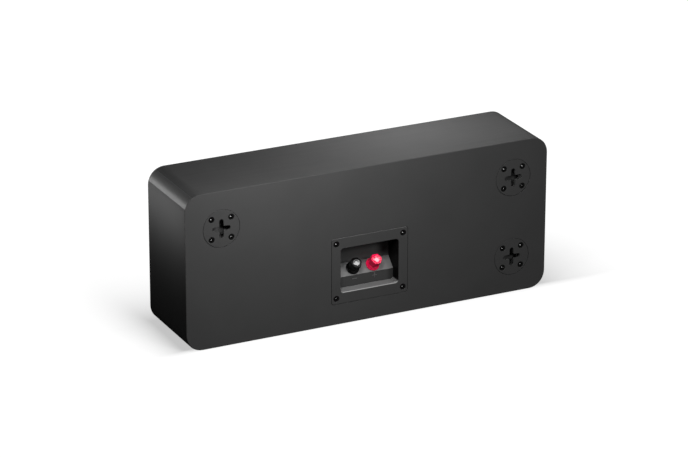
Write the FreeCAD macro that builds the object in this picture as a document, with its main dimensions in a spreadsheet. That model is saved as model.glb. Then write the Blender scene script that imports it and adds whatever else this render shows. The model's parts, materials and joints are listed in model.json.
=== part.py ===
import math
import os
from types import SimpleNamespace

import FreeCAD
import Part
import Sketcher

# A two-way loudspeaker that hangs on a wall by keyhole plates in its back.
# Millimetres. X runs along the width, the front faces -Y, the back is at +Y, and Z is up.
# The origin is under the middle of the cabinet, on the surface that it stands on.

Vector = FreeCAD.Vector
Rotation = FreeCAD.Rotation
Constraint = Sketcher.Constraint
COS45 = math.sqrt(0.5)
MITRE = math.tan(math.radians(45 / 2))

SIZES = {
    # Cabinet
    "cabinet_width": 480.0,
    "cabinet_height": 196.0,
    "cabinet_depth": 108.0,
    "corner_radius": 21.0,
    "inner_corner": 8.0,
    "edge_round": 1.0,
    "wall_thickness": 15.0,
    "back_thickness": 15.0,
    "baffle_thickness": 16.0,
    # Grille
    "grille_recess": 11.0,
    "grille_setback": 0.6,
    "grille_gap": 0.6,
    "grille_bar": 12.0,
    "grille_rib": 10.0,
    "cloth_thickness": 0.8,
    "cloth_round": 1.5,
    "disc_radius": 4.0,
    "disc_thickness": 2.5,
    "disc_inset": 7.0,
    # Countersunk wood screws, in the back and in the drivers' flanges
    "back_screw_head": 3.8,
    "back_screw_shank": 1.75,
    "driver_screw_head": 3.0,
    "driver_screw_shank": 1.5,
    "screw_sink": 0.2,
    "screw_fit": 0.05,
    "screw_cover": 2.0,
    # Keyhole plates
    "plate_inset": 46.6,
    "plate_thickness": 2.5,
    "plate_rim": 11.0,
    "plate_round": 0.3,
    "slot_length": 23.4,
    "slot_width": 5.7,
    "keyhole_radius": 4.5,
    "pocket_margin": 0.6,
    "pocket_depth": 7.5,
    "flush_gap": 0.45,
    # Terminal cup
    "terminal_height": 68.5,
    "mouth_width": 76.5,
    "mouth_height": 55.8,
    "mouth_corner": 3.5,
    "mouth_lip": 1.2,
    "flange_side": 12.4,
    "flange_end": 14.0,
    "flange_corner": 3.0,
    "flange_round": 0.3,
    "flange_thickness": 2.6,
    "gasket_thickness": 1.0,
    "cup_wall": 2.5,
    "cup_clearance": 0.5,
    "riser_depth": 14.0,
    "riser_height": 13.5,
    "panel_margin": 0.6,
    # Binding posts, along the post from the sloping panel
    "post_spacing": 26.7,
    "collar_radius": 8.25,
    "collar_skirt": 2.3,
    "collar_groove": 0.8,
    "collar_height": 5.0,
    "collar_top": 6.4,
    "spigot_radius": 4.5,
    "stud_radius": 3.0,
    "stud_tail": 9.5,
    "stud_setback": 0.3,
    "stud_flange_radius": 5.0,
    "stud_flange": 1.0,
    "socket_radius": 2.05,
    "socket_depth": 12.0,
    "ring_radius": 5.6,
    "ring_thickness": 1.0,
    "cap_corner": 7.25,
    "cap_length": 9.6,
    "cap_chamfer": 0.6,
    "insert_radius": 4.2,
    "insert_lip": 0.6,
    "dish_radius": 3.8,
    "dish_depth": 1.3,
    "thread_clearance": 0.08,
    "press_gap": 0.05,
    "tag_radius": 5.2,
    "tag_thickness": 0.8,
    "tag_length": 13.0,
    "tag_width": 4.0,
    "nut_corner": 5.6,
    "nut_thickness": 4.5,
    # Woofers, along the driver from the front of the baffle
    "woofer_radius": 64.0,
    "woofer_rim": 8.0,
    "woofer_flange": 4.0,
    "basket_clearance": 1.0,
    "basket_wall": 3.0,
    "basket_plate": 2.0,
    "basket_depth": 34.0,
    "basket_neck": 7.0,
    "window_width": 30.0,
    "window_margin": 3.0,
    "surround_landing": 3.0,
    "surround_thickness": 1.2,
    "roll_width": 8.0,
    "roll_height": 2.4,
    "cone_thickness": 1.2,
    "cone_landing": 3.0,
    "dust_cap_radius": 19.0,
    "dust_cap_height": 6.5,
    "dust_cap_thickness": 0.8,
    "spider_seat": 24.2,
    "spider_thickness": 0.8,
    "spider_fold": 1.6,
    "spider_gap": 2.0,
    "pole_radius": 12.5,
    "coil_clearance": 0.35,
    "former_thickness": 0.3,
    "winding_thickness": 0.5,
    "winding_length": 10.0,
    "motor_radius": 40.0,
    "top_plate": 5.0,
    "magnet_bore": 20.0,
    "magnet_overhang": 2.0,
    "magnet_height": 14.0,
    "yoke_plate": 5.0,
    # Tweeter
    "tweeter_radius": 45.0,
    "tweeter_rim": 7.0,
    "tweeter_flange": 4.0,
    "throat_radius": 17.0,
    "flare_radius": 28.0,
    "flare_depth": 2.6,
    "dome_radius": 12.8,
    "dome_height": 5.0,
    "dome_thickness": 0.8,
    "dome_ring": 7.0,
    "housing_clearance": 2.0,
    "housing_depth": 30.0,
    "chamber_depth": 7.0,
    # Crossover
    "board_gap": 4.0,
    "board_width": 36.0,
    "board_height": 112.0,
    "board_thickness": 1.6,
    "board_inset": 5.0,
    "standoff_height": 6.0,
    "standoff_radius": 3.0,
    "standoff_peg": 1.4,
    "standoff_peg_top": 1.5,
    "large_coil_radius": 16.0,
    "large_coil_bore": 7.0,
    "large_coil_height": 14.0,
    "small_coil_radius": 11.0,
    "small_coil_bore": 5.0,
    "small_coil_height": 10.0,
    "capacitor_radius": 7.5,
    "capacitor_length": 30.0,
    "resistor_length": 24.0,
    "resistor_side": 7.0,
    "part_spacing": 6.0,
    "solder_pitch": 8.0,
    # Wires and wadding
    "wire_radius": 1.4,
    "wire_gap": 0.3,
    "wire_stub": 8.0,
    "wire_bow": 14.0,
    "wadding_length": 96.0,
    "wadding_height": 140.0,
    "wadding_margin": 8.0,
    "wadding_clearance": 4.0,
}
DRIVER_SCREWS = 4
BASKET_WINDOWS = 6
ARC_SHARE = 0.45


class Size:
    """A length as a formula over the sheet's cells, with its present value."""

    def __init__(self, text, value):
        self.text = text
        self.value = value

    def joined(self, sign, other, value):
        return Size(f"({self.text} {sign} {other.text})", value)

    def __add__(self, other):
        other = as_size(other)
        return self.joined("+", other, self.value + other.value)

    def __sub__(self, other):
        other = as_size(other)
        return self.joined("-", other, self.value - other.value)

    def __mul__(self, other):
        other = as_size(other)
        return self.joined("*", other, self.value * other.value)

    def __truediv__(self, other):
        other = as_size(other)
        return self.joined("/", other, self.value / other.value)

    def __neg__(self):
        return Size(f"(0 - {self.text})", -self.value)


def as_size(number):
    if isinstance(number, Size):
        return number
    return Size(f"({float(number)})", float(number))


doc = FreeCAD.newDocument("wall_speaker")
sheet = doc.addObject("Spreadsheet::Sheet", "sizes")
for row, (alias, value) in enumerate(SIZES.items(), start=1):
    sheet.set(f"A{row}", alias)
    sheet.set(f"B{row}", str(value))
    sheet.setAlias(f"B{row}", alias)
doc.recompute()
dim = SimpleNamespace(**{alias: Size(f"sizes.{alias}", value) for alias, value in SIZES.items()})
parts = []

# Places that several pieces share
half_width = dim.cabinet_width / 2
mid_height = dim.cabinet_height / 2
back_face = dim.cabinet_depth / 2
front_face = -back_face
inner_width = dim.cabinet_width - dim.wall_thickness * 2
inner_height = dim.cabinet_height - dim.wall_thickness * 2
inner_back = back_face - dim.back_thickness
baffle_face = front_face + dim.grille_recess
BACK_SCREW = SimpleNamespace(
    head=dim.back_screw_head,
    shank=dim.back_screw_shank,
    length=dim.back_thickness - dim.screw_cover,
)
DRIVER_SCREW = SimpleNamespace(
    head=dim.driver_screw_head,
    shank=dim.driver_screw_shank,
    length=dim.baffle_thickness - dim.screw_cover,
)

plate_pocket = dim.slot_length / 2 + dim.pocket_margin
plate_radius = plate_pocket + dim.plate_rim
plate_screw_offset = (plate_pocket + dim.plate_rim / 2) * COS45
plate_x = half_width - dim.plate_inset
plate_top = dim.cabinet_height - dim.plate_inset
KEYHOLES = {
    "upper_right": (plate_x, plate_top),
    "upper_left": (-plate_x, plate_top),
    "lower_left": (-plate_x, dim.plate_inset),
}

flange_width = dim.mouth_width + dim.flange_side * 2
flange_height = dim.mouth_height + dim.flange_end * 2
cup_seat = dim.flange_thickness + dim.gasket_thickness
cup_screw_x = (dim.mouth_width + dim.flange_side) / 2
cup_screw_z = (dim.mouth_height + dim.flange_end) / 2
cup_floor = dim.terminal_height - dim.mouth_height / 2
cup_ceiling = dim.terminal_height + dim.mouth_height / 2
riser_top = cup_floor + dim.riser_height
panel_run = (dim.collar_radius + dim.panel_margin) * 2 * COS45
panel_top = riser_top + panel_run
cup_depth = dim.riser_depth + panel_run
post_y = back_face - dim.riser_depth - panel_run / 2
post_z = riser_top + panel_run / 2
POSTS = {"negative": dim.post_spacing / 2, "positive": -dim.post_spacing / 2}

ring_start = dim.collar_height + dim.stud_flange
cap_start = ring_start + dim.ring_thickness
cap_end = cap_start + dim.cap_length
stud_end = cap_end - dim.dish_depth - dim.insert_lip - dim.stud_setback
thread_bore = dim.stud_radius + dim.thread_clearance

woofer_x = (dim.tweeter_radius + inner_width / 2) / 2
woofer_cutout = dim.woofer_radius - dim.woofer_rim
woofer_screw_circle = dim.woofer_radius - dim.woofer_rim / 2
basket_mouth = woofer_cutout - dim.basket_clearance - dim.basket_wall
cone_radius = basket_mouth - dim.roll_width
motor_back = dim.basket_depth + dim.top_plate + dim.magnet_height + dim.yoke_plate
WOOFERS = {"right": woofer_x, "left": -woofer_x}
former_bore = dim.pole_radius + dim.coil_clearance
former_radius = former_bore + dim.former_thickness
winding_radius = former_radius + dim.winding_thickness
gap_middle = dim.basket_depth + dim.top_plate / 2
glue_radius = former_radius + dim.press_gap
neck_front = dim.spider_seat - dim.spider_thickness - dim.spider_fold - dim.spider_gap - dim.cone_thickness

tweeter_cutout = dim.tweeter_radius - dim.tweeter_rim
tweeter_screw_circle = dim.tweeter_radius - dim.tweeter_rim / 2
housing_radius = tweeter_cutout - dim.housing_clearance
dome_seat = dim.dome_radius + dim.dome_ring
tweeter_back = baffle_face + dim.tweeter_flange + dim.housing_depth

board_x = flange_width / 2 + dim.board_gap + dim.board_width / 2
board_face = inner_back - dim.standoff_height - dim.board_thickness
board_foot = mid_height - dim.board_height / 2


def new_body(label):
    body = doc.addObject("PartDesign::Body", label)
    body.Label = label
    parts.append(body)
    return body


def place(body, x, y, z, turn=0):
    """Moves a body to a point, turned about X so that its own Z points where the piece faces."""
    point = [as_size(value) for value in (x, y, z)]
    body.Placement = FreeCAD.Placement(
        Vector(*[value.value for value in point]), Rotation(Vector(1, 0, 0), turn)
    )
    for axis, value in zip("xyz", point):
        body.setExpression(f"Placement.Base.{axis}", value.text)


def new_sketch(body, name, plane, lift=0, tilt=0, shift=0):
    """A sketch on an origin plane of its body, lifted along the plane's normal, shifted and tilted."""
    sketch = body.newObject("Sketcher::SketchObject", name)
    support = [feature for feature in body.Origin.OriginFeatures if feature.Role == plane]
    sketch.AttachmentSupport = [(support[0], "")]
    sketch.MapMode = "FlatFace"
    lift = as_size(lift)
    shift = as_size(shift)
    sketch.AttachmentOffset = FreeCAD.Placement(
        Vector(0, shift.value, lift.value), Rotation(Vector(1, 0, 0), tilt)
    )
    sketch.setExpression("AttachmentOffset.Base.y", shift.text)
    sketch.setExpression("AttachmentOffset.Base.z", lift.text)
    return sketch


def upright_sketch(body, name, y):
    """A sketch parallel to the front and back faces, at depth y, with sketch axes along X and Z."""
    return new_sketch(body, name, "XZ_Plane", -as_size(y))


def bind(sketch, constraint, size):
    index = sketch.addConstraint(constraint)
    sketch.setExpression(f"Constraints[{index}]", size.text)


def pin(sketch, geometry, point, x, y):
    """Holds one point of the sketch at x, y from the sketch origin."""
    for kind, axis, value in (("DistanceX", -2, x), ("DistanceY", -1, y)):
        if isinstance(value, Size):
            bind(sketch, Constraint(kind, -1, 1, geometry, point, value.value), value)
        else:
            sketch.addConstraint(Constraint("PointOnObject", geometry, point, axis))


def arc_between(start, end, radius):
    """The lesser arc from start to end, anticlockwise for a positive radius."""
    chord = end - start
    reach = math.sqrt(radius * radius - chord.Length * chord.Length / 4)
    left = Vector(-chord.y, chord.x, 0).normalize()
    side = math.copysign(1, radius)
    centre = (start + end) / 2 + left * (reach * side)
    first, last = (start, end) if side > 0 else (end, start)
    angles = [math.atan2(p.y - centre.y, p.x - centre.x) for p in (first, last)]
    circle = Part.Circle(centre, Vector(0, 0, 1), abs(radius))
    return Part.ArcOfCircle(circle, angles[0], angles[1])


def outline(sketch, points, arcs=None):
    """A closed outline through points. A side whose number is in arcs is an arc of that radius."""
    arcs = arcs or {}
    spots = [Vector(as_size(x).value, as_size(y).value, 0) for x, y in points]
    ends = []
    for side, start in enumerate(spots):
        end = spots[(side + 1) % len(spots)]
        if side in arcs:
            geometry = sketch.addGeometry(arc_between(start, end, arcs[side].value), False)
            ends.append((geometry, 1, 2) if arcs[side].value > 0 else (geometry, 2, 1))
        else:
            ends.append((sketch.addGeometry(Part.LineSegment(start, end), False), 1, 2))
    for side, (geometry, first, last) in enumerate(ends):
        after, after_first, after_last = ends[(side + 1) % len(ends)]
        sketch.addConstraint(Constraint("Coincident", geometry, last, after, after_first))
        pin(sketch, geometry, first, *points[side])
        if side in arcs:
            size = arcs[side] if arcs[side].value > 0 else -arcs[side]
            bind(sketch, Constraint("Radius", geometry, size.value), size)


def rectangle(sketch, x, y, width, height):
    centre_x, centre_y = as_size(x), as_size(y)
    left, right = centre_x - width / 2, centre_x + width / 2
    low, high = centre_y - height / 2, centre_y + height / 2
    outline(sketch, [(left, low), (right, low), (right, high), (left, high)])


def rounded_rectangle(sketch, x, y, width, height, radius):
    centre_x, centre_y = as_size(x), as_size(y)
    left, right = centre_x - width / 2, centre_x + width / 2
    low, high = centre_y - height / 2, centre_y + height / 2
    points = [
        (left + radius, low),
        (right - radius, low),
        (right, low + radius),
        (right, high - radius),
        (right - radius, high),
        (left + radius, high),
        (left, high - radius),
        (left, low + radius),
    ]
    outline(sketch, points, {side: radius for side in (1, 3, 5, 7)})


def circles(sketch, centres, radius):
    for x, y in centres:
        spot = Vector(as_size(x).value, as_size(y).value, 0)
        geometry = sketch.addGeometry(Part.Circle(spot, Vector(0, 0, 1), radius.value), False)
        pin(sketch, geometry, 3, x, y)
        bind(sketch, Constraint("Radius", geometry, radius.value), radius)


def hexagon(sketch, corner):
    points = []
    for step in range(6):
        angle = math.radians(60 * step)
        height = corner * math.sin(angle) if step % 3 else 0
        points.append((corner * math.cos(angle), height))
    outline(sketch, points)


def finish_feature(body, feature):
    body.Tip = feature
    doc.recompute()
    return feature


def pad(body, name, sketch, length, flip=False, taper=0, both_ways=False):
    feature = body.newObject("PartDesign::Pad", name)
    feature.Profile = (sketch, [""])
    feature.Length = length.value
    feature.setExpression("Length", length.text)
    feature.Reversed = flip
    feature.TaperAngle = taper
    feature.Midplane = both_ways
    return finish_feature(body, feature)


def pocket(body, name, sketch, depth, flip=False, taper=0, both_ways=False):
    before = body.Shape.Volume
    feature = body.newObject("PartDesign::Pocket", name)
    feature.Profile = (sketch, [""])
    feature.Length = depth.value
    feature.setExpression("Length", depth.text)
    feature.Reversed = flip
    feature.TaperAngle = taper
    feature.Midplane = both_ways
    finish_feature(body, feature)
    if body.Shape.Volume >= before:
        raise ValueError(f"{name} cuts nothing")
    return feature


def turn(body, name, kind, points, arcs=None):
    """Revolves a profile of radius and height about the body's own Z."""
    sketch = new_sketch(body, name + "_profile", "XZ_Plane")
    outline(sketch, points, arcs)
    feature = body.newObject(kind, name)
    feature.Profile = (sketch, [""])
    feature.ReferenceAxis = (sketch, ["V_Axis"])
    feature.Angle = 360
    return finish_feature(body, feature)


def turned(label, points, arcs=None):
    body = new_body(label)
    turn(body, label + "_turning", "PartDesign::Revolution", points, arcs)
    return body


def round_edges(body, name, radius, chosen):
    """Fillets the edges of the body's last feature that the chosen test picks."""
    base = body.Tip
    names = [f"Edge{n}" for n, edge in enumerate(base.Shape.Edges, start=1) if chosen(edge.BoundBox)]
    feature = body.newObject("PartDesign::Fillet", name)
    feature.Base = (base, names)
    feature.Radius = radius.value
    feature.setExpression("Radius", radius.text)
    return finish_feature(body, feature)


def repeat_round(body, name, original, count):
    feature = body.newObject("PartDesign::PolarPattern", name)
    feature.Originals = [original]
    axis = [item for item in body.Origin.OriginFeatures if item.Role == "Z_Axis"]
    feature.Axis = (axis[0], [""])
    feature.Angle = 360
    feature.Occurrences = count
    return finish_feature(body, feature)


def same(a, b):
    return abs(a - b) < 1e-4


def flat_at(y):
    """Picks edges that lie in the plane at depth y."""
    return lambda box: same(box.YMin, y.value) and same(box.YMax, y.value)


def corners(x, y, across, up):
    return [(x + across * sx, y + up * sy) for sx in (-1, 1) for sy in (-1, 1)]


def ring_points(x, y, radius, count):
    """Points evenly round a circle, the first halfway between the axes."""
    angles = [2 * math.pi * (step + 0.5) / count for step in range(count)]
    return [(x + radius * math.cos(a), y + radius * math.sin(a)) for a in angles]


def crown_radius(half_chord, height):
    return (half_chord * half_chord + height * height) / (height * 2)


def keyhole_screw_points():
    points = []
    for x, z in KEYHOLES.values():
        points += corners(x, z, plate_screw_offset, plate_screw_offset)
    return points


def cup_screw_points():
    return corners(as_size(0), dim.terminal_height, cup_screw_x, cup_screw_z)


def woofer_screw_points():
    points = []
    for x in WOOFERS.values():
        points += ring_points(x, mid_height, woofer_screw_circle, DRIVER_SCREWS)
    return points


def tweeter_screw_points():
    return ring_points(as_size(0), mid_height, tweeter_screw_circle, DRIVER_SCREWS)


# Grille discs sit in the four corners of the grille frame
cloth_width = inner_width - dim.grille_gap * 2
cloth_height = inner_height - dim.grille_gap * 2
frame_width = cloth_width - dim.cloth_thickness * 2
frame_height = cloth_height - dim.cloth_thickness * 2
cloth_corner = dim.inner_corner - dim.grille_gap
frame_corner = cloth_corner - dim.cloth_thickness
cloth_face = front_face + dim.grille_setback
frame_face = cloth_face + dim.cloth_thickness
frame_depth = baffle_face - frame_face


def disc_points():
    across = frame_width / 2 - dim.disc_inset
    up = frame_height / 2 - dim.disc_inset
    return corners(as_size(0), mid_height, across, up)


def screw_holes(body, name, screw, points, y, depth, flip):
    """Pilot holes for wood screws, from the face at y."""
    holes = upright_sketch(body, name + "_circles", y)
    circles(holes, points, screw.shank + dim.screw_fit)
    pocket(body, name, holes, depth, flip)


def countersinks(body, name, screw, points, plane, lift, thickness, flip):
    """Clearance holes through a plate, with seats for countersunk heads at its outer face."""
    hole_radius = screw.shank + dim.screw_fit
    seat_radius = screw.head + dim.screw_sink + dim.screw_fit
    seats = new_sketch(body, name + "_seat_circles", plane, lift)
    circles(seats, points, seat_radius)
    pocket(body, name + "_seats", seats, seat_radius - hole_radius, flip, -45)
    holes = new_sketch(body, name + "_hole_circles", plane, lift)
    circles(holes, points, hole_radius)
    pocket(body, name + "_holes", holes, thickness, flip)


def wood_screws(label, screw, points, y, flip):
    """A set of countersunk wood screws whose heads sit just under the face at y."""
    body = new_body(label)
    sunk = dim.screw_sink if flip else -dim.screw_sink
    heads = upright_sketch(body, label + "_head_circles", y + sunk)
    circles(heads, points, screw.head)
    pad(body, label + "_heads", heads, screw.head - screw.shank, flip, -45)
    shanks = upright_sketch(body, label + "_shank_circles", y + sunk)
    circles(shanks, points, screw.shank)
    pad(body, label + "_shanks", shanks, screw.length - dim.screw_sink, flip)


def make_cabinet():
    body = new_body("cabinet")
    outer = upright_sketch(body, "cabinet_outline", back_face)
    rounded_rectangle(outer, 0, mid_height, dim.cabinet_width, dim.cabinet_height, dim.corner_radius)
    pad(body, "cabinet_block", outer, dim.cabinet_depth)
    round_edges(
        body, "cabinet_edges", dim.edge_round, lambda box: flat_at(back_face)(box) or flat_at(front_face)(box)
    )
    inner = upright_sketch(body, "cavity_outline", front_face)
    rounded_rectangle(inner, 0, mid_height, inner_width, inner_height, dim.inner_corner)
    pocket(body, "cavity", inner, dim.cabinet_depth - dim.back_thickness)

    seats = upright_sketch(body, "plate_seat_circles", back_face)
    circles(seats, KEYHOLES.values(), plate_radius + dim.flush_gap)
    pocket(body, "plate_seats", seats, dim.plate_thickness, True)
    pockets = upright_sketch(body, "screw_head_pocket_circles", back_face)
    circles(pockets, KEYHOLES.values(), plate_pocket)
    pocket(body, "screw_head_pockets", pockets, dim.plate_thickness + dim.pocket_depth, True)

    rebate = upright_sketch(body, "cup_rebate_outline", back_face)
    gap = dim.flush_gap * 2
    corner = dim.flange_corner + dim.flush_gap
    rounded_rectangle(rebate, 0, dim.terminal_height, flange_width + gap, flange_height + gap, corner)
    pocket(body, "cup_rebate", rebate, cup_seat, True)
    cutout = upright_sketch(body, "cup_cutout_outline", back_face)
    margin = (dim.cup_wall + dim.cup_clearance) * 2
    rectangle(cutout, 0, dim.terminal_height, dim.mouth_width + margin, dim.mouth_height + margin)
    pocket(body, "cup_cutout", cutout, dim.back_thickness, True)

    points = keyhole_screw_points() + cup_screw_points()
    screw_holes(body, "back_pilot_holes", BACK_SCREW, points, back_face, BACK_SCREW.length, True)


def make_baffle():
    body = new_body("front_baffle")
    outer = upright_sketch(body, "baffle_outline", baffle_face)
    rounded_rectangle(outer, 0, mid_height, inner_width, inner_height, dim.inner_corner)
    pad(body, "baffle_board", outer, dim.baffle_thickness, True)
    woofers = [(x, mid_height) for x in WOOFERS.values()]
    tweeter = [(0, mid_height)]
    for name, centres, flange, cutout, seat in (
        ("woofer", woofers, dim.woofer_radius, woofer_cutout, dim.woofer_flange),
        ("tweeter", tweeter, dim.tweeter_radius, tweeter_cutout, dim.tweeter_flange),
    ):
        rebate = upright_sketch(body, name + "_rebate_circles", baffle_face)
        circles(rebate, centres, flange + dim.flush_gap)
        pocket(body, name + "_rebate", rebate, seat)
        hole = upright_sketch(body, name + "_cutout_circles", baffle_face)
        circles(hole, centres, cutout)
        pocket(body, name + "_cutout", hole, dim.baffle_thickness)
    discs = upright_sketch(body, "disc_seat_circles", baffle_face)
    circles(discs, disc_points(), dim.disc_radius + dim.press_gap)
    pocket(body, "disc_seats", discs, dim.disc_thickness)
    points = woofer_screw_points() + tweeter_screw_points()
    screw_holes(body, "baffle_pilot_holes", DRIVER_SCREW, points, baffle_face, DRIVER_SCREW.length, False)


def make_grille():
    cloth = new_body("grille_cloth")
    sheet_outline = upright_sketch(cloth, "cloth_outline", baffle_face)
    rounded_rectangle(sheet_outline, 0, mid_height, cloth_width, cloth_height, cloth_corner)
    pad(cloth, "cloth_block", sheet_outline, frame_depth + dim.cloth_thickness)
    round_edges(cloth, "cloth_edge", dim.cloth_round, flat_at(cloth_face))
    hollow = upright_sketch(cloth, "cloth_hollow_outline", baffle_face)
    rounded_rectangle(hollow, 0, mid_height, frame_width, frame_height, frame_corner)
    pocket(cloth, "cloth_hollow", hollow, frame_depth, True)

    frame = new_body("grille_frame")
    outer = upright_sketch(frame, "frame_outline", baffle_face)
    rounded_rectangle(outer, 0, mid_height, frame_width, frame_height, frame_corner)
    pad(frame, "frame_board", outer, frame_depth)
    rib_x = (dim.tweeter_radius + woofer_x - dim.woofer_radius) / 2
    side_width = frame_width / 2 - dim.grille_bar - rib_x - dim.grille_rib / 2
    side_x = rib_x + dim.grille_rib / 2 + side_width / 2
    window_height = frame_height - dim.grille_bar * 2
    for name, x, width in (
        ("right", side_x, side_width),
        ("middle", as_size(0), rib_x * 2 - dim.grille_rib),
        ("left", -side_x, side_width),
    ):
        window = upright_sketch(frame, name + "_window_outline", baffle_face)
        rounded_rectangle(window, x, mid_height, width, window_height, dim.inner_corner)
        pocket(frame, name + "_window", window, frame_depth, True)
    seats = upright_sketch(frame, "frame_disc_circles", baffle_face)
    circles(seats, disc_points(), dim.disc_radius + dim.press_gap)
    pocket(frame, "frame_disc_seats", seats, dim.disc_thickness, True)

    for label, flip in (("grille_magnets", False), ("baffle_magnets", True)):
        body = new_body(label)
        discs = upright_sketch(body, label + "_circles", baffle_face)
        circles(discs, disc_points(), dim.disc_radius)
        pad(body, label + "_discs", discs, dim.disc_thickness, flip)


def make_keyhole_plate(name, x, z):
    body = new_body("keyhole_plate_" + name)
    disc = upright_sketch(body, name + "_disc_circle", 0)
    circles(disc, [(0, 0)], plate_radius)
    pad(body, name + "_disc", disc, dim.plate_thickness)
    round_edges(body, name + "_rim", dim.plate_round, flat_at(as_size(0)))
    reach = dim.slot_length / 2 - dim.slot_width / 2
    for way, width, height in (
        ("level", reach * 2, dim.slot_width),
        ("upright", dim.slot_width, reach * 2),
    ):
        slot = upright_sketch(body, f"{name}_{way}_slot_outline", 0)
        rectangle(slot, 0, 0, width, height)
        pocket(body, f"{name}_{way}_slot", slot, dim.plate_thickness, True)
    ends = upright_sketch(body, name + "_slot_end_circles", 0)
    circles(ends, [(reach, 0), (-reach, 0), (0, reach), (0, -reach)], dim.slot_width / 2)
    pocket(body, name + "_slot_ends", ends, dim.plate_thickness, True)
    middle = upright_sketch(body, name + "_keyhole_circle", 0)
    circles(middle, [(0, 0)], dim.keyhole_radius)
    pocket(body, name + "_keyhole", middle, dim.plate_thickness, True)
    points = corners(as_size(0), as_size(0), plate_screw_offset, plate_screw_offset)
    countersinks(body, name + "_screw", BACK_SCREW, points, "XZ_Plane", 0, dim.plate_thickness, True)
    place(body, x, back_face, z)


def make_terminal_cup():
    body = new_body("terminal_cup")
    flange = upright_sketch(body, "cup_flange_outline", back_face)
    rounded_rectangle(flange, 0, dim.terminal_height, flange_width, flange_height, dim.flange_corner)
    pad(body, "cup_flange", flange, dim.flange_thickness)
    round_edges(body, "cup_flange_edge", dim.flange_round, flat_at(back_face))

    wall = dim.cup_wall
    slack = wall * MITRE
    shell = new_sketch(body, "cup_shell_profile", "YZ_Plane")
    seat_y = back_face - dim.flange_thickness
    riser_y = back_face - dim.riser_depth
    rear_y = back_face - cup_depth
    outline(
        shell,
        [
            (seat_y, cup_ceiling + wall),
            (rear_y - wall, cup_ceiling + wall),
            (rear_y - wall, panel_top - slack),
            (riser_y - wall, riser_top - slack),
            (riser_y - wall, cup_floor - wall),
            (seat_y, cup_floor - wall),
        ],
    )
    pad(body, "cup_shell", shell, dim.mouth_width + wall * 2, both_ways=True)
    recess = new_sketch(body, "cup_recess_profile", "YZ_Plane")
    outline(
        recess,
        [
            (back_face, cup_ceiling),
            (rear_y, cup_ceiling),
            (rear_y, panel_top),
            (riser_y, riser_top),
            (riser_y, cup_floor),
            (back_face, cup_floor),
        ],
    )
    pocket(body, "cup_recess", recess, dim.mouth_width, both_ways=True)

    half = dim.mouth_width.value / 2
    low, high = cup_floor.value, cup_ceiling.value

    def mouth_corner(box):
        level = same(box.ZMin, low) or same(box.ZMin, high)
        side = same(abs(box.XMin), half)
        return same(box.XLength, 0) and same(box.ZLength, 0) and level and side and box.YLength > 1

    def mouth_rim(box):
        inside = box.ZMin > low - 1e-4 and box.ZMax < high + 1e-4 and box.XMax < half + 1e-4
        return flat_at(back_face)(box) and inside and box.XMin > -half - 1e-4

    round_edges(body, "cup_mouth_corners", dim.mouth_corner, mouth_corner)
    round_edges(body, "cup_mouth_lip", dim.mouth_lip, mouth_rim)
    posts = new_sketch(body, "post_hole_circles", "XY_Plane", post_z, -45, post_y)
    spots = [(x, 0) for x in POSTS.values()]
    circles(posts, spots, dim.spigot_radius + dim.thread_clearance)
    pocket(body, "post_holes", posts, wall * 3, both_ways=True)
    points = cup_screw_points()
    countersinks(body, "cup_screw", BACK_SCREW, points, "XZ_Plane", -back_face, dim.flange_thickness, True)

    gasket = new_body("terminal_gasket")
    seal = upright_sketch(gasket, "gasket_outline", seat_y)
    rounded_rectangle(seal, 0, dim.terminal_height, flange_width, flange_height, dim.flange_corner)
    pad(gasket, "gasket_sheet", seal, dim.gasket_thickness)
    hole = upright_sketch(gasket, "gasket_opening_outline", seat_y)
    margin = (wall + dim.cup_clearance) * 2
    rectangle(hole, 0, dim.terminal_height, dim.mouth_width + margin, dim.mouth_height + margin)
    pocket(gasket, "gasket_opening", hole, dim.gasket_thickness, True)
    screw_holes(gasket, "gasket_holes", BACK_SCREW, points, seat_y, dim.gasket_thickness, True)


def seat_on_post(body, x):
    place(body, x, post_y, post_z, -45)


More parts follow.
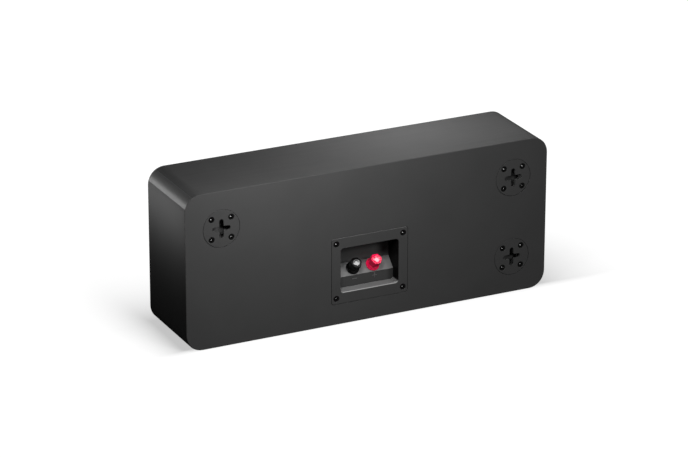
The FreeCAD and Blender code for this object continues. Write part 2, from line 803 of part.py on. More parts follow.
def make_post(pole, x):
    groove = dim.collar_skirt + dim.collar_groove
    inner = dim.collar_radius - dim.collar_groove
    collar = turned(
        pole + "_collar",
        [
            (thread_bore, -dim.cup_wall),
            (dim.spigot_radius, -dim.cup_wall),
            (dim.spigot_radius, 0),
            (dim.collar_radius, 0),
            (dim.collar_radius, dim.collar_skirt),
            (inner, dim.collar_skirt),
            (inner, groove),
            (dim.collar_top, dim.collar_height),
            (thread_bore, dim.collar_height),
        ],
    )
    stud = turned(
        pole + "_stud",
        [
            (0, -dim.stud_tail),
            (dim.stud_radius, -dim.stud_tail),
            (dim.stud_radius, dim.collar_height),
            (dim.stud_flange_radius, dim.collar_height),
            (dim.stud_flange_radius, ring_start),
            (dim.stud_radius, ring_start),
            (dim.stud_radius, stud_end),
            (dim.socket_radius, stud_end),
            (dim.socket_radius, stud_end - dim.socket_depth),
            (0, stud_end - dim.socket_depth),
        ],
    )
    ring = turned(
        pole + "_clamp_ring",
        [
            (thread_bore, ring_start),
            (dim.ring_radius, ring_start),
            (dim.ring_radius, cap_start),
            (thread_bore, cap_start),
        ],
    )
    dish_floor = cap_end - dim.dish_depth
    plug_hole = dim.socket_radius + dim.thread_clearance * 2
    insert = turned(
        pole + "_cap_insert",
        [
            (thread_bore, cap_start),
            (dim.insert_radius, cap_start),
            (dim.insert_radius, cap_end),
            (dim.dish_radius, cap_end),
            (plug_hole, dish_floor),
            (plug_hole, dish_floor - dim.insert_lip),
            (thread_bore, dish_floor - dim.insert_lip),
        ],
    )
    cap = new_body(pole + "_cap")
    grip = new_sketch(cap, pole + "_grip_outline", "XY_Plane", cap_start)
    hexagon(grip, dim.cap_corner)
    pad(cap, pole + "_grip", grip, dim.cap_length)
    bore = new_sketch(cap, pole + "_bore_circle", "XY_Plane", cap_end)
    circles(bore, [(0, 0)], dim.insert_radius + dim.press_gap)
    pocket(cap, pole + "_bore", bore, dim.cap_length)
    inside = dim.cap_corner - dim.cap_chamfer
    outside = dim.cap_corner + dim.cap_chamfer
    end_slope = [
        (inside, cap_end),
        (outside, cap_end - dim.cap_chamfer * 2),
        (outside, cap_end),
    ]
    turn(cap, pole + "_chamfer", "PartDesign::Groove", end_slope)
    for body in (collar, stud, ring, insert, cap):
        seat_on_post(body, x)


def make_post_backs():
    """Solder tags and nuts under the sloping panel."""
    across = [(x, 0) for x in POSTS.values()]
    tags = new_body("solder_tags")
    rings = new_sketch(tags, "tag_ring_circles", "XY_Plane", -dim.cup_wall)
    circles(rings, across, dim.tag_radius)
    pad(tags, "tag_rings", rings, dim.tag_thickness, True)
    for pole, x in POSTS.items():
        tab = new_sketch(tags, pole + "_tab_outline", "XY_Plane", -dim.cup_wall)
        rectangle(tab, x, -dim.tag_length / 2, dim.tag_width, dim.tag_length)
        pad(tags, pole + "_tab", tab, dim.tag_thickness, True)
    holes = new_sketch(tags, "tag_hole_circles", "XY_Plane", -dim.cup_wall)
    circles(holes, across, thread_bore)
    pocket(tags, "tag_holes", holes, dim.tag_thickness)
    seat_on_post(tags, 0)

    nuts = new_body("terminal_nuts")
    nut_face = -dim.cup_wall - dim.tag_thickness
    for pole, x in POSTS.items():
        flats = new_sketch(nuts, pole + "_nut_outline", "XY_Plane", nut_face)
        angles = [math.radians(60 * step + 30) for step in range(6)]
        outline(flats, [(x + dim.nut_corner * math.cos(a), dim.nut_corner * math.sin(a)) for a in angles])
        pad(nuts, pole + "_nut", flats, dim.nut_thickness, True)
    threads = new_sketch(nuts, "nut_thread_circles", "XY_Plane", nut_face)
    circles(threads, across, thread_bore)
    pocket(nuts, "nut_threads", threads, dim.nut_thickness)
    seat_on_post(nuts, 0)


def make_woofer(side, x):
    name = f"woofer_{side}_"
    seat = dim.surround_thickness
    landing = basket_mouth + dim.surround_landing
    ledge = dim.motor_radius - dim.basket_neck
    basket = turned(
        name + "basket",
        [
            (basket_mouth, seat),
            (landing + dim.press_gap, seat),
            (landing + dim.press_gap, 0),
            (dim.woofer_radius, 0),
            (dim.woofer_radius, dim.woofer_flange),
            (basket_mouth + dim.basket_wall, dim.woofer_flange),
            (dim.motor_radius, dim.spider_seat),
            (dim.motor_radius, dim.basket_depth),
            (winding_radius + dim.basket_plate, dim.basket_depth),
            (winding_radius + dim.basket_plate, dim.basket_depth - dim.basket_plate),
            (ledge, dim.basket_depth - dim.basket_plate),
            (ledge, dim.spider_seat),
            (dim.motor_radius - dim.basket_wall, dim.spider_seat),
            (basket_mouth, dim.woofer_flange),
        ],
    )
    window_low = dim.woofer_flange + dim.window_margin
    window_high = dim.spider_seat - dim.window_margin
    window = new_sketch(basket, name + "window_outline", "XZ_Plane")
    rectangle(window, 0, (window_low + window_high) / 2, dim.window_width, window_high - window_low)
    cut = pocket(basket, name + "window", window, dim.woofer_radius, True)
    repeat_round(basket, name + "windows", cut, BASKET_WINDOWS)
    points = ring_points(as_size(0), as_size(0), woofer_screw_circle, DRIVER_SCREWS)
    countersinks(basket, name + "screw", DRIVER_SCREW, points, "XY_Plane", 0, dim.woofer_flange, True)

    roll = crown_radius(dim.roll_width / 2, dim.roll_height)
    tuck = dim.surround_thickness / 2
    under = crown_radius(dim.roll_width / 2 - tuck, dim.roll_height)
    surround = turned(
        name + "surround",
        [
            (cone_radius - dim.cone_landing, 0),
            (cone_radius, 0),
            (basket_mouth, 0),
            (landing, 0),
            (landing, seat),
            (basket_mouth - tuck, seat),
            (cone_radius + tuck, seat),
            (cone_radius - dim.cone_landing, seat),
        ],
        {1: roll, 5: -under},
    )
    rim = cone_radius - dim.press_gap
    cone_edge = cone_radius - dim.cone_landing
    cone = turned(
        name + "cone",
        [
            (glue_radius, neck_front),
            (cone_edge, seat),
            (rim, seat),
            (rim, seat + dim.cone_thickness),
            (cone_edge, seat + dim.cone_thickness),
            (glue_radius, neck_front + dim.cone_thickness),
        ],
    )
    slope = (neck_front - seat) / (cone_edge - glue_radius)
    cap_edge = neck_front - slope * (dim.dust_cap_radius - glue_radius) - dim.press_gap
    cap_inner = dim.dust_cap_radius - dim.dust_cap_thickness
    cap_top = cap_edge - dim.dust_cap_height
    dust_cap = turned(
        name + "dust_cap",
        [
            (0, cap_top),
            (0, cap_top + dim.dust_cap_thickness),
            (cap_inner, cap_edge),
            (dim.dust_cap_radius, cap_edge),
        ],
        {
            1: crown_radius(cap_inner, dim.dust_cap_height - dim.dust_cap_thickness),
            3: -crown_radius(dim.dust_cap_radius, dim.dust_cap_height),
        },
    )
    spider_low = dim.spider_seat - dim.spider_thickness
    spider_edge = dim.motor_radius - dim.basket_wall - dim.press_gap * 2
    folds = 4
    step = (ledge - glue_radius) / folds
    top_side = [(glue_radius + step * n, spider_low - dim.spider_fold * (n % 2)) for n in range(folds + 1)]
    under_side = [(r, z + dim.spider_thickness) for r, z in reversed(top_side)]
    spider = turned(
        name + "spider",
        top_side + [(spider_edge, spider_low), (spider_edge, dim.spider_seat)] + under_side,
    )
    winding_top = gap_middle - dim.winding_length / 2
    winding_end = gap_middle + dim.winding_length / 2
    voice_coil = turned(
        name + "voice_coil",
        [
            (former_bore, neck_front - dim.spider_gap),
            (former_radius, neck_front - dim.spider_gap),
            (former_radius, winding_top),
            (winding_radius, winding_top),
            (winding_radius, winding_end),
            (former_bore, winding_end),
        ],
    )
    plate_end = dim.basket_depth + dim.top_plate
    gap_bore = winding_radius + dim.coil_clearance
    top_plate = turned(
        name + "top_plate",
        [
            (gap_bore, dim.basket_depth),
            (dim.motor_radius, dim.basket_depth),
            (dim.motor_radius, plate_end),
            (gap_bore, plate_end),
        ],
    )
    magnet_end = plate_end + dim.magnet_height
    magnet_edge = dim.motor_radius + dim.magnet_overhang
    magnet = turned(
        name + "magnet",
        [
            (dim.magnet_bore, plate_end),
            (magnet_edge, plate_end),
            (magnet_edge, magnet_end),
            (dim.magnet_bore, magnet_end),
        ],
    )
    yoke = turned(
        name + "yoke",
        [
            (0, dim.basket_depth),
            (dim.pole_radius, dim.basket_depth),
            (dim.pole_radius, magnet_end),
            (dim.motor_radius, magnet_end),
            (dim.motor_radius, motor_back),
            (0, motor_back),
        ],
    )
    for body in (basket, surround, cone, dust_cap, spider, voice_coil, top_plate, magnet, yoke):
        place(body, x, baffle_face, mid_height, -90)


def make_tweeter():
    flange = dim.tweeter_flange
    faceplate = turned(
        "tweeter_faceplate",
        [
            (dim.throat_radius, flange),
            (dim.throat_radius, dim.flare_depth),
            (dim.flare_radius, 0),
            (dim.tweeter_radius, 0),
            (dim.tweeter_radius, flange),
        ],
    )
    points = ring_points(as_size(0), as_size(0), tweeter_screw_circle, DRIVER_SCREWS)
    countersinks(faceplate, "faceplate_screw", DRIVER_SCREW, points, "XY_Plane", 0, flange, True)
    ring_end = flange + dim.dome_thickness
    dome_inner = dim.dome_radius - dim.dome_thickness
    dome = turned(
        "tweeter_dome",
        [
            (0, flange - dim.dome_height),
            (0, ring_end - dim.dome_height),
            (dome_inner, ring_end),
            (dome_seat, ring_end),
            (dome_seat, flange),
            (dim.dome_radius, flange),
        ],
        {
            1: crown_radius(dome_inner, dim.dome_height),
            5: -crown_radius(dim.dome_radius, dim.dome_height),
        },
    )
    back = flange + dim.housing_depth
    housing = turned(
        "tweeter_rear_housing",
        [
            (0, ring_end + dim.chamber_depth),
            (dim.dome_radius, ring_end + dim.chamber_depth),
            (dim.dome_radius, ring_end),
            (dome_seat + dim.press_gap, ring_end),
            (dome_seat + dim.press_gap, flange),
            (housing_radius, flange),
            (housing_radius, back),
            (0, back),
        ],
    )
    for body in (faceplate, dome, housing):
        place(body, 0, baffle_face, mid_height, -90)


def on_board(body, z):
    """Stands a part on the board's inner face, its own Z towards the front."""
    place(body, board_x, board_face, z, 90)


def make_crossover():
    board = new_body("crossover_board")
    sheet_outline = upright_sketch(board, "board_outline", board_face)
    rectangle(sheet_outline, board_x, mid_height, dim.board_width, dim.board_height)
    pad(board, "board_sheet", sheet_outline, dim.board_thickness, True)
    across = dim.board_width / 2 - dim.board_inset
    up = dim.board_height / 2 - dim.board_inset
    points = corners(board_x, mid_height, across, up)
    holes = upright_sketch(board, "board_hole_circles", board_face)
    circles(holes, points, dim.standoff_peg + dim.press_gap)
    pocket(board, "board_holes", holes, dim.board_thickness)

    standoffs = new_body("crossover_standoffs")
    posts = upright_sketch(standoffs, "standoff_circles", inner_back)
    circles(posts, points, dim.standoff_radius)
    pad(standoffs, "standoff_posts", posts, dim.standoff_height)
    pegs = upright_sketch(standoffs, "standoff_peg_circles", inner_back)
    circles(pegs, points, dim.standoff_peg)
    pad(standoffs, "standoff_pegs", pegs, dim.standoff_height + dim.board_thickness + dim.standoff_peg_top)

    # The parts stand in a row up the board, each clear of the last
    row = board_foot + dim.board_inset * 2 + dim.large_coil_radius
    coil(
        "woofer_inductor", dim.large_coil_bore, dim.large_coil_radius, dim.large_coil_height, row
    )
    row = row + dim.large_coil_radius + dim.part_spacing
    resistor = new_body("tweeter_resistor")
    base = new_sketch(resistor, "resistor_outline", "XY_Plane")
    rectangle(base, 0, 0, dim.resistor_length, dim.resistor_side)
    pad(resistor, "resistor_block", base, dim.resistor_side)
    on_board(resistor, row)
    row = row + dim.resistor_side + dim.capacitor_radius
    capacitor = new_body("tweeter_capacitor")
    can = new_sketch(capacitor, "capacitor_circle", "YZ_Plane")
    circles(can, [(0, dim.capacitor_radius + dim.press_gap)], dim.capacitor_radius)
    pad(capacitor, "capacitor_can", can, dim.capacitor_length, both_ways=True)
    on_board(capacitor, row)
    row = row + dim.capacitor_radius + dim.part_spacing / 2 + dim.small_coil_radius
    coil(
        "tweeter_inductor", dim.small_coil_bore, dim.small_coil_radius, dim.small_coil_height, row
    )


def coil(label, bore, radius, height, z):
    body = turned(label, [(bore, 0), (radius, 0), (radius, height), (bore, height)])
    on_board(body, z)


def wire_path(points):
    """Straight runs through the points, joined by the largest tangent arcs that the runs allow."""
    edges = []
    start = points[0]
    for before, corner, after in zip(points, points[1:], points[2:]):
        way_in = (corner - before).normalize()
        way_out = (after - corner).normalize()
        turning = way_in.getAngle(way_out)
        reach = ARC_SHARE * min(corner.distanceToPoint(before), corner.distanceToPoint(after))
        radius = reach / math.tan(turning / 2)
        inward = (way_out - way_in).normalize()
        middle = corner + inward * (radius / math.cos(turning / 2) - radius)
        first = corner - way_in * reach
        last = corner + way_out * reach
        edges.append(Part.LineSegment(start, first).toShape())
        edges.append(Part.Arc(first, middle, last).toShape())
        start = last
    edges.append(Part.LineSegment(start, points[-1]).toShape())
    return Part.Wire(edges)


def wire_solid(points):
    spots = [Vector(*[as_size(value).value for value in point]) for point in points]
    path = wire_path(spots)
    radius = dim.wire_radius.value
    section = Part.Wire(Part.makeCircle(radius, spots[0], spots[1] - spots[0]))
    solid = path.makePipeShell([section], True, True)
    wanted = math.pi * radius * radius * path.Length
    if abs(solid.Volume - wanted) > 0.01 * wanted:
        raise ValueError("a wire's volume differs from its section times its length")
    return solid


def wires(label, routes):
    body = doc.addObject("Part::Feature", label)
    body.Label = label
    solids = [wire_solid(points) for points in routes]
    body.Shape = solids[0] if len(solids) == 1 else Part.makeCompound(solids)
    body.Placement = FreeCAD.Placement()
    parts.append(body)


def along(start, end, across, deep, up):
    """A point between two others, at its own share of the way in X, Y and Z."""
    first = [as_size(value) for value in start]
    last = [as_size(value) for value in end]
    return [a + (b - a) * share for a, b, share in zip(first, last, (across, deep, up))]


def make_wires():
    """Inner wires, from the solder tags to the board and from the board to the drivers."""
    stub = dim.wire_stub
    bow = dim.wire_bow
    solder_face = board_face - dim.wire_gap
    solder_low = board_foot + dim.board_inset
    solder_high = board_foot + dim.board_height - dim.board_inset * 2
    first_x = board_x - dim.solder_pitch
    last_x = board_x + dim.solder_pitch

    tag_drop = dim.cup_wall + dim.tag_thickness + dim.wire_gap + dim.wire_radius
    tag_y = post_y - (tag_drop + dim.tag_length) * COS45
    tag_z = post_z - (tag_drop - dim.tag_length) * COS45
    lead_y = (tag_y + tweeter_back) / 2
    negative_x = POSTS["negative"]
    negative_bend = (negative_x + stub * 2, lead_y, tag_z + stub / 2)
    negative_foot = (first_x, solder_face - stub * 2, solder_low + stub / 4)
    negative = [
        (negative_x, tag_y, tag_z),
        (negative_x, tag_y - stub, tag_z + stub),
        negative_bend,
        along(negative_bend, negative_foot, 0.5, 0, 0.4),
        negative_foot,
        (first_x, solder_face, solder_low),
    ]
    positive_x = POSTS["positive"]
    positive = [
        (positive_x, tag_y, tag_z),
        (positive_x, tag_y - stub, tag_z + stub),
        (positive_x + bow, lead_y, tag_z + stub * 1.5),
        (negative_x + stub * 2, lead_y, tag_z + stub * 2),
        (last_x, solder_face - stub * 3, solder_low),
        (last_x, solder_face, solder_low),
    ]
    wires("input_leads", [negative, positive])

    neck_x = woofer_x - dim.motor_radius - dim.wire_radius - dim.wire_gap
    neck_y = baffle_face + dim.spider_seat + stub / 2
    right_start = (last_x, solder_face - bow, solder_high)
    right_end = (neck_x, neck_y, mid_height)
    right = [
        (last_x, solder_face, solder_high),
        right_start,
        along(right_start, right_end, 0.15, 0.2, 0.25),
        along(right_start, right_end, 0.7, 0.6, 0.65),
        right_end,
    ]
    left_bend = (-board_x / 2, lead_y, solder_high)
    left_end = (-neck_x, neck_y, mid_height)
    left = [
        (board_x, solder_face, solder_high),
        (board_x, solder_face - bow, solder_high),
        (board_x / 2, lead_y, solder_high + stub / 2),
        left_bend,
        along(left_bend, left_end, 0.6, 0.1, 0.5),
        along(left_bend, left_end, 0.9, 0.5, 0.8),
        left_end,
    ]
    wires("woofer_leads", [right, left])

    tweeter_start = (first_x, solder_face - bow, solder_high)
    tweeter_end = (housing_radius / 2, tweeter_back + bow, mid_height + stub)
    tweeter = [
        (first_x, solder_face, solder_high),
        tweeter_start,
        along(tweeter_start, tweeter_end, 0.4, 0.6, 0.4),
        tweeter_end,
        (housing_radius / 2, tweeter_back + dim.wire_gap, mid_height + stub),
    ]
    wires("tweeter_lead", [tweeter])


def make_wadding():
    """A sheet of fill against the back panel behind each woofer."""
    thickness = inner_back - baffle_face - motor_back - dim.wadding_clearance
    middle = inner_width / 2 - dim.wadding_margin - dim.wadding_length / 2
    for side, x in (("right", middle), ("left", -middle)):
        body = new_body("wadding_" + side)
        area = upright_sketch(body, side + "_wadding_outline", inner_back)
        rounded_rectangle(area, x, mid_height, dim.wadding_length, dim.wadding_height, dim.inner_corner)
        pad(body, side + "_wadding_sheet", area, thickness)


def build():
    make_cabinet()
    make_baffle()
    make_grille()
    for name, (x, z) in KEYHOLES.items():
        make_keyhole_plate(name, x, z)
    wood_screws("keyhole_plate_screws", BACK_SCREW, keyhole_screw_points(), back_face, False)
    make_terminal_cup()
    wood_screws("terminal_cup_screws", BACK_SCREW, cup_screw_points(), back_face, False)
    for pole, x in POSTS.items():
        make_post(pole, x)
    make_post_backs()
    for side, x in WOOFERS.items():
        make_woofer(side, x)
    wood_screws("woofer_screws", DRIVER_SCREW, woofer_screw_points(), baffle_face, True)
    make_tweeter()
    wood_screws("tweeter_screws", DRIVER_SCREW, tweeter_screw_points(), baffle_face, True)
    make_crossover()
    make_wires()
    make_wadding()


def check_and_write():
    doc.recompute()
    failed = [item.Name for item in doc.Objects if {"Invalid", "Error"} & set(item.State)]
    failed += [part.Label for part in parts if part.Shape.isNull() or not part.Shape.isValid()]
    if failed:
        raise RuntimeError("failed pieces: " + ", ".join(failed))
    os.makedirs("parts", exist_ok=True)
    for part in parts:
        part.Shape.exportStep(f"parts/{part.Label}.step")


build()
check_and_write()
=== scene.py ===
import json
import math
from itertools import product

import bmesh
import bpy
from mathutils import Matrix, Vector, noise


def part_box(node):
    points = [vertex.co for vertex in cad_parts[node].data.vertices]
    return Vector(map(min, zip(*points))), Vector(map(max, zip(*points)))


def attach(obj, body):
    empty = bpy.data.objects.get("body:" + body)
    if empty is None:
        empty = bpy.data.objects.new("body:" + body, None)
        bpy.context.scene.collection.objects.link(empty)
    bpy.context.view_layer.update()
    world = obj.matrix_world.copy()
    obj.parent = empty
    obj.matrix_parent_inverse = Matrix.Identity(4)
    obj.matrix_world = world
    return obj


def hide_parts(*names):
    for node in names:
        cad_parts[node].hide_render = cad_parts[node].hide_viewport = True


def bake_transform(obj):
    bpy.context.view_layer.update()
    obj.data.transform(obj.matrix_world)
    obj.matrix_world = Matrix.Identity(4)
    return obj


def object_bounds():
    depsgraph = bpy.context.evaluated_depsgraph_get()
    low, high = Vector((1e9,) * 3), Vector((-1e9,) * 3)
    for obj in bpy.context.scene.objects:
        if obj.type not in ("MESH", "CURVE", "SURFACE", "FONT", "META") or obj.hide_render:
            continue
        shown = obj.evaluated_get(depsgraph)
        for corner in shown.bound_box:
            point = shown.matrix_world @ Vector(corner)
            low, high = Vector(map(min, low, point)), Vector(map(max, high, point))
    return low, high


# Looks for a wall speaker seen from behind. Metres, in the CAD frame: +X is at the left of the picture,
# the back faces +Y and Z is up.

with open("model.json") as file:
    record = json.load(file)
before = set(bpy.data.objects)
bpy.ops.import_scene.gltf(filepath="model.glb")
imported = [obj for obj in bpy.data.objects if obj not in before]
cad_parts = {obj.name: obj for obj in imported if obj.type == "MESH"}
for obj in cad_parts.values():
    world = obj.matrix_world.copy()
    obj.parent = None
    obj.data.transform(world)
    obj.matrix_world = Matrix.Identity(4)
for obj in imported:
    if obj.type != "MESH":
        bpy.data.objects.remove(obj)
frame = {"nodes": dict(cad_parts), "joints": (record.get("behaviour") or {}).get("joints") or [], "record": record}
cad_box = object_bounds()
NODES = frame["nodes"]
SLOTS = {row["node"]: row["material_slot"] for row in frame["record"]["subparts"]}
JOINTS = {row["name"]: row for row in frame["joints"]}
POLES = ("negative", "positive")
MM = 0.001
# The materials of the loaded frame make way for the finishes below
for material in list(bpy.data.materials):
    bpy.data.materials.remove(material)


# Finishes. A noise lies mostly between two limits, and a wave turns by its rate for each unit of scale.
NOISE_LOW, NOISE_HIGH = 0.3, 0.7
WAVE_RATE = 20


class Paint:
    """A material and short ways to add and join its shader nodes."""

    def __init__(self, name):
        self.material = bpy.data.materials.new(name)
        self.material.use_nodes = True
        self.tree = self.material.node_tree

    def node(self, kind, **settings):
        node = self.tree.nodes.new(kind)
        for key, value in settings.items():
            setattr(node, key, value)
        return node

    def link(self, source, target):
        self.tree.links.new(source, target)

    def feed(self, node, *values):
        """Gives the inputs of a node, in their order, plain values or the outputs of other nodes."""
        for socket, value in zip(node.inputs, values):
            if isinstance(value, bpy.types.NodeSocket):
                self.link(value, socket)
            else:
                socket.default_value = value

    def math(self, operation, *values):
        node = self.node("ShaderNodeMath", operation=operation)
        self.feed(node, *values)
        return node.outputs["Value"]

    def vector(self, operation, *values):
        node = self.node("ShaderNodeVectorMath", operation=operation)
        self.feed(node, *values)
        return node.outputs["Value" if operation == "LENGTH" else "Vector"]


class Finish(Paint):
    """A material with a Principled shader and the few texture nodes that the finishes share."""

    def __init__(self, name, metallic=0.0, specular=0.5):
        super().__init__(name)
        self.shader = self.tree.nodes["Principled BSDF"]
        self.set(Metallic=metallic, Specular_IOR_Level=specular)
        coordinates = self.node("ShaderNodeTexCoord").outputs
        self.place = coordinates["Object"]
        self.facing = coordinates["Normal"]
        self.normal = None

    def set(self, **values):
        for name, value in values.items():
            self.shader.inputs[name.replace("_", " ")].default_value = value

    def noise(self, size, detail=3.0, stretch=(1, 1, 1)):
        """Cloudy noise whose blobs are about size metres across."""
        mapping = self.node("ShaderNodeMapping")
        mapping.inputs["Scale"].default_value = stretch
        self.link(self.place, mapping.inputs["Vector"])
        texture = self.node("ShaderNodeTexNoise")
        texture.inputs["Scale"].default_value = 1 / size
        texture.inputs["Detail"].default_value = detail
        self.link(mapping.outputs["Vector"], texture.inputs["Vector"])
        return texture.outputs["Fac"]

    def cells(self, size):
        """Pits about size metres apart, deepest in their middles."""
        texture = self.node("ShaderNodeTexVoronoi")
        texture.inputs["Scale"].default_value = 1 / size
        self.link(self.place, texture.inputs["Vector"])
        return texture.outputs["Distance"]

    def bands(self, pitch, axis):
        """Smooth ridges across an axis, one each pitch metres."""
        texture = self.node("ShaderNodeTexWave", wave_type="BANDS", bands_direction=axis, wave_profile="SIN")
        texture.inputs["Scale"].default_value = math.tau / WAVE_RATE / pitch
        self.link(self.place, texture.inputs["Vector"])
        return texture.outputs["Fac"]

    def parts(self, vector):
        """The X, Y and Z of a vector."""
        split = self.node("ShaderNodeSeparateXYZ")
        self.link(vector, split.inputs["Vector"])
        return split.outputs

    def spread(self, value, low, high, start=NOISE_LOW, end=NOISE_HIGH):
        """Runs from low to high while value goes from start to end."""
        node = self.node("ShaderNodeMapRange")
        self.feed(node, value, start, end, low, high)
        return node.outputs["Result"]

    def colour(self, value, dark, light, start=NOISE_LOW, end=NOISE_HIGH):
        """Base colour that runs from dark to light while value goes from start to end."""
        node = self.node("ShaderNodeValToRGB")
        for element, position, tone in zip(node.color_ramp.elements, (start, end), (dark, light)):
            element.position = position
            element.color = (*tone, 1.0)
        self.link(value, node.inputs["Fac"])
        self.link(node.outputs["Color"], self.shader.inputs["Base Color"])

    def overlay(self, factor, tone):
        """Lays a colour, or the colour of a socket, over the base colour where factor is 1."""
        mix = self.node("ShaderNodeMix", data_type="RGBA")
        self.link(factor, mix.inputs["Factor"])
        self.link(self.shader.inputs["Base Color"].links[0].from_socket, mix.inputs["A"])
        if isinstance(tone, bpy.types.NodeSocket):
            self.link(tone, mix.inputs["B"])
        else:
            mix.inputs["B"].default_value = (*tone, 1.0)
        self.link(mix.outputs["Result"], self.shader.inputs["Base Color"])

    def roughness(self, value, low, high):
        self.link(self.spread(value, low, high), self.shader.inputs["Roughness"])

    def bump(self, height, depth):
        """Relief of the given depth in metres, laid over any earlier relief."""
        node = self.node("ShaderNodeBump")
        node.inputs["Distance"].default_value = depth
        self.link(height, node.inputs["Height"])
        if self.normal:
            self.link(self.normal, node.inputs["Normal"])
        self.normal = node.outputs["Normal"]
        self.link(self.normal, self.shader.inputs["Normal"])


def grey(level, warmth=0.0):
    """A grey colour, or a slightly warm one."""
    return (level * (1 + warmth), level, level * (1 - warmth))


def plain(slot, dark, light, rough, grain, depth, mottle=0.02, **shader):
    """Mottled colour and roughness with a fine grain: paints, plastics, metals and cements."""
    finish = Finish(slot, **shader)
    clouds = finish.noise(mottle)
    fine = finish.noise(grain)
    finish.colour(clouds, dark, light)
    finish.roughness(fine, *rough)
    finish.bump(fine, depth)
    return finish


CLOTH_TONES = (0.1, 0.9)
FUZZ_SHARE = 1 / 3
FUZZ_DARKEST = 0.6


def woven(slot, dark, light, rough, pitch, depth):
    """Cloth of crossing threads, one each pitch metres."""
    finish = Finish(slot, specular=0.2)
    threads = finish.math("MAXIMUM", finish.bands(pitch, "X"), finish.bands(pitch, "Z"))
    fuzz = finish.noise(pitch * FUZZ_SHARE)
    shown = finish.math("MULTIPLY", threads, finish.spread(fuzz, FUZZ_DARKEST, 1.0))
    finish.colour(shown, dark, light, *CLOTH_TONES)
    finish.roughness(fuzz, *rough)
    finish.bump(threads, depth)
    finish.bump(fuzz, depth * FUZZ_SHARE)
    finish.set(Sheen_Weight=0.15, Sheen_Roughness=0.5)
    return finish


def wound(slot, dark, light, pitch):
    """Enamelled wire wound about the Y axis."""
    finish = plain(slot, dark, light, (0.22, 0.35), 2 * MM, 0.01 * MM, metallic=1.0)
    finish.bump(finish.bands(pitch, "Y"), pitch / 2)
    return finish


def foam(slot, dark, light, cell, depth):
    """Matt foam with open cells."""
    finish = plain(slot, dark, light, (0.8, 0.95), 0.5 * MM, 0.05 * MM)
    finish.bump(finish.cells(cell), depth)
    return finish


SATIN = (0.36, 0.44)
PAINT_GRAIN, PAINT_RELIEF, PAINT_CLOUDS = 0.8 * MM, 0.008 * MM, 60 * MM
BRUSH_WIDTH, BRUSH_DETAIL, BRUSH_STRETCH, BRUSH_CONTRAST = 5 * MM, 4.0, (0.03, 1, 1), 0.15
PAINT_TONES = (0.1, 0.9)


def cabinet_paint(slot, specular):
    """Satin paint with faint brush lines on the faces that look up."""
    finish = Finish(slot, specular=specular)
    fine = finish.noise(PAINT_GRAIN)
    finish.roughness(fine, *SATIN)
    finish.bump(fine, PAINT_RELIEF)
    brush = finish.noise(BRUSH_WIDTH, BRUSH_DETAIL, BRUSH_STRETCH)
    lines = finish.spread(brush, -BRUSH_CONTRAST, BRUSH_CONTRAST)
    streaks = finish.math("MULTIPLY", lines, finish.parts(finish.facing)["Z"])
    clouds = finish.math("ADD", finish.noise(PAINT_CLOUDS), streaks)
    finish.colour(clouds, grey(0.037), grey(0.043), *PAINT_TONES)
    return finish


# Where the cup's painted light and shade lie: the two ends of each soft border
CUP_DEEP_Y = (26 * MM, 29 * MM)
CUP_LIP_Y = (51 * MM, 53 * MM)
CUP_INSIDE_X = (39.0 * MM, 39.6 * MM)
CUP_INSIDE_Z = (97 * MM, 98 * MM)
CUP_RIM_Z = (109.0 * MM, 109.6 * MM)
CUP_SIDEWAYS = (0.3, 0.8)
CUP_UPWARD = (0.15, 0.65)
# Colours laid over the cup: painted light on the back wall, painted shade on one side wall, a painted highlight on
# the rim
CUP_PAINTED_LIGHT, CUP_PAINTED_SHADE, CUP_PAINTED_HIGHLIGHT = grey(0.075), grey(0.004), grey(0.11)
# Levels of the painted light on the ledges, flat and sloping, and of the painted highlight on the lip
PAINTED_LEDGE_LIGHT_FLAT, PAINTED_LEDGE_LIGHT_SLOPING, PAINTED_LIP_HIGHLIGHT = 0.115, 0.14, 0.22
SLOPE_HALFWAY = 0.5


def cup_plastic():
    """Moulded plastic, near black on one side wall by painted shade and paler by painted light on the back wall,
    ledges and rim.
    """
    finish = plain("cup_plastic", grey(0.036), grey(0.038), (0.20, 0.28), 0.5 * MM, 0.004 * MM, specular=0.02)
    place, facing = finish.parts(finish.place), finish.parts(finish.facing)
    # Painted light: the back wall deep in the recess is laid paler, as if lit
    finish.overlay(finish.spread(place["Y"], 1.0, 0.0, *CUP_DEEP_Y), CUP_PAINTED_LIGHT)
    # Painted shade: the side wall that faces +X is laid near black, as if in shadow
    finish.overlay(finish.spread(facing["X"], 0.0, 1.0, *CUP_SIDEWAYS), CUP_PAINTED_SHADE)
    # Painted light on the faces inside the recess that look up, most on the slopes, with a painted highlight on
    # the lower lip
    slope = finish.math("MULTIPLY", facing["Y"], facing["Z"])
    lip_highlight = finish.math("MULTIPLY", slope, finish.spread(place["Y"], 0.0, PAINTED_LIP_HIGHLIGHT, *CUP_LIP_Y))
    level = finish.math("ADD", finish.spread(slope, PAINTED_LEDGE_LIGHT_FLAT, PAINTED_LEDGE_LIGHT_SLOPING, 0.0, SLOPE_HALFWAY), lip_highlight)
    painted_ledge_light = finish.node("ShaderNodeCombineColor")
    finish.feed(painted_ledge_light, level, level, level)
    across = finish.spread(finish.math("ABSOLUTE", place["X"]), 1.0, 0.0, *CUP_INSIDE_X)
    inside = finish.math("MULTIPLY", across, finish.spread(place["Z"], 1.0, 0.0, *CUP_INSIDE_Z))
    upward = finish.spread(facing["Z"], 0.0, 1.0, *CUP_UPWARD)
    finish.overlay(finish.math("MULTIPLY", upward, inside), painted_ledge_light.outputs["Color"])
    # Painted highlight along the top edge of the rim, on the faces that look up
    rim = finish.spread(place["Z"], 0.0, 1.0, *CUP_RIM_Z)
    finish.overlay(finish.math("MULTIPLY", upward, rim), CUP_PAINTED_HIGHLIGHT)
    return finish


POST_RED = ((0.74, 0.008, 0.062), (0.80, 0.010, 0.075))


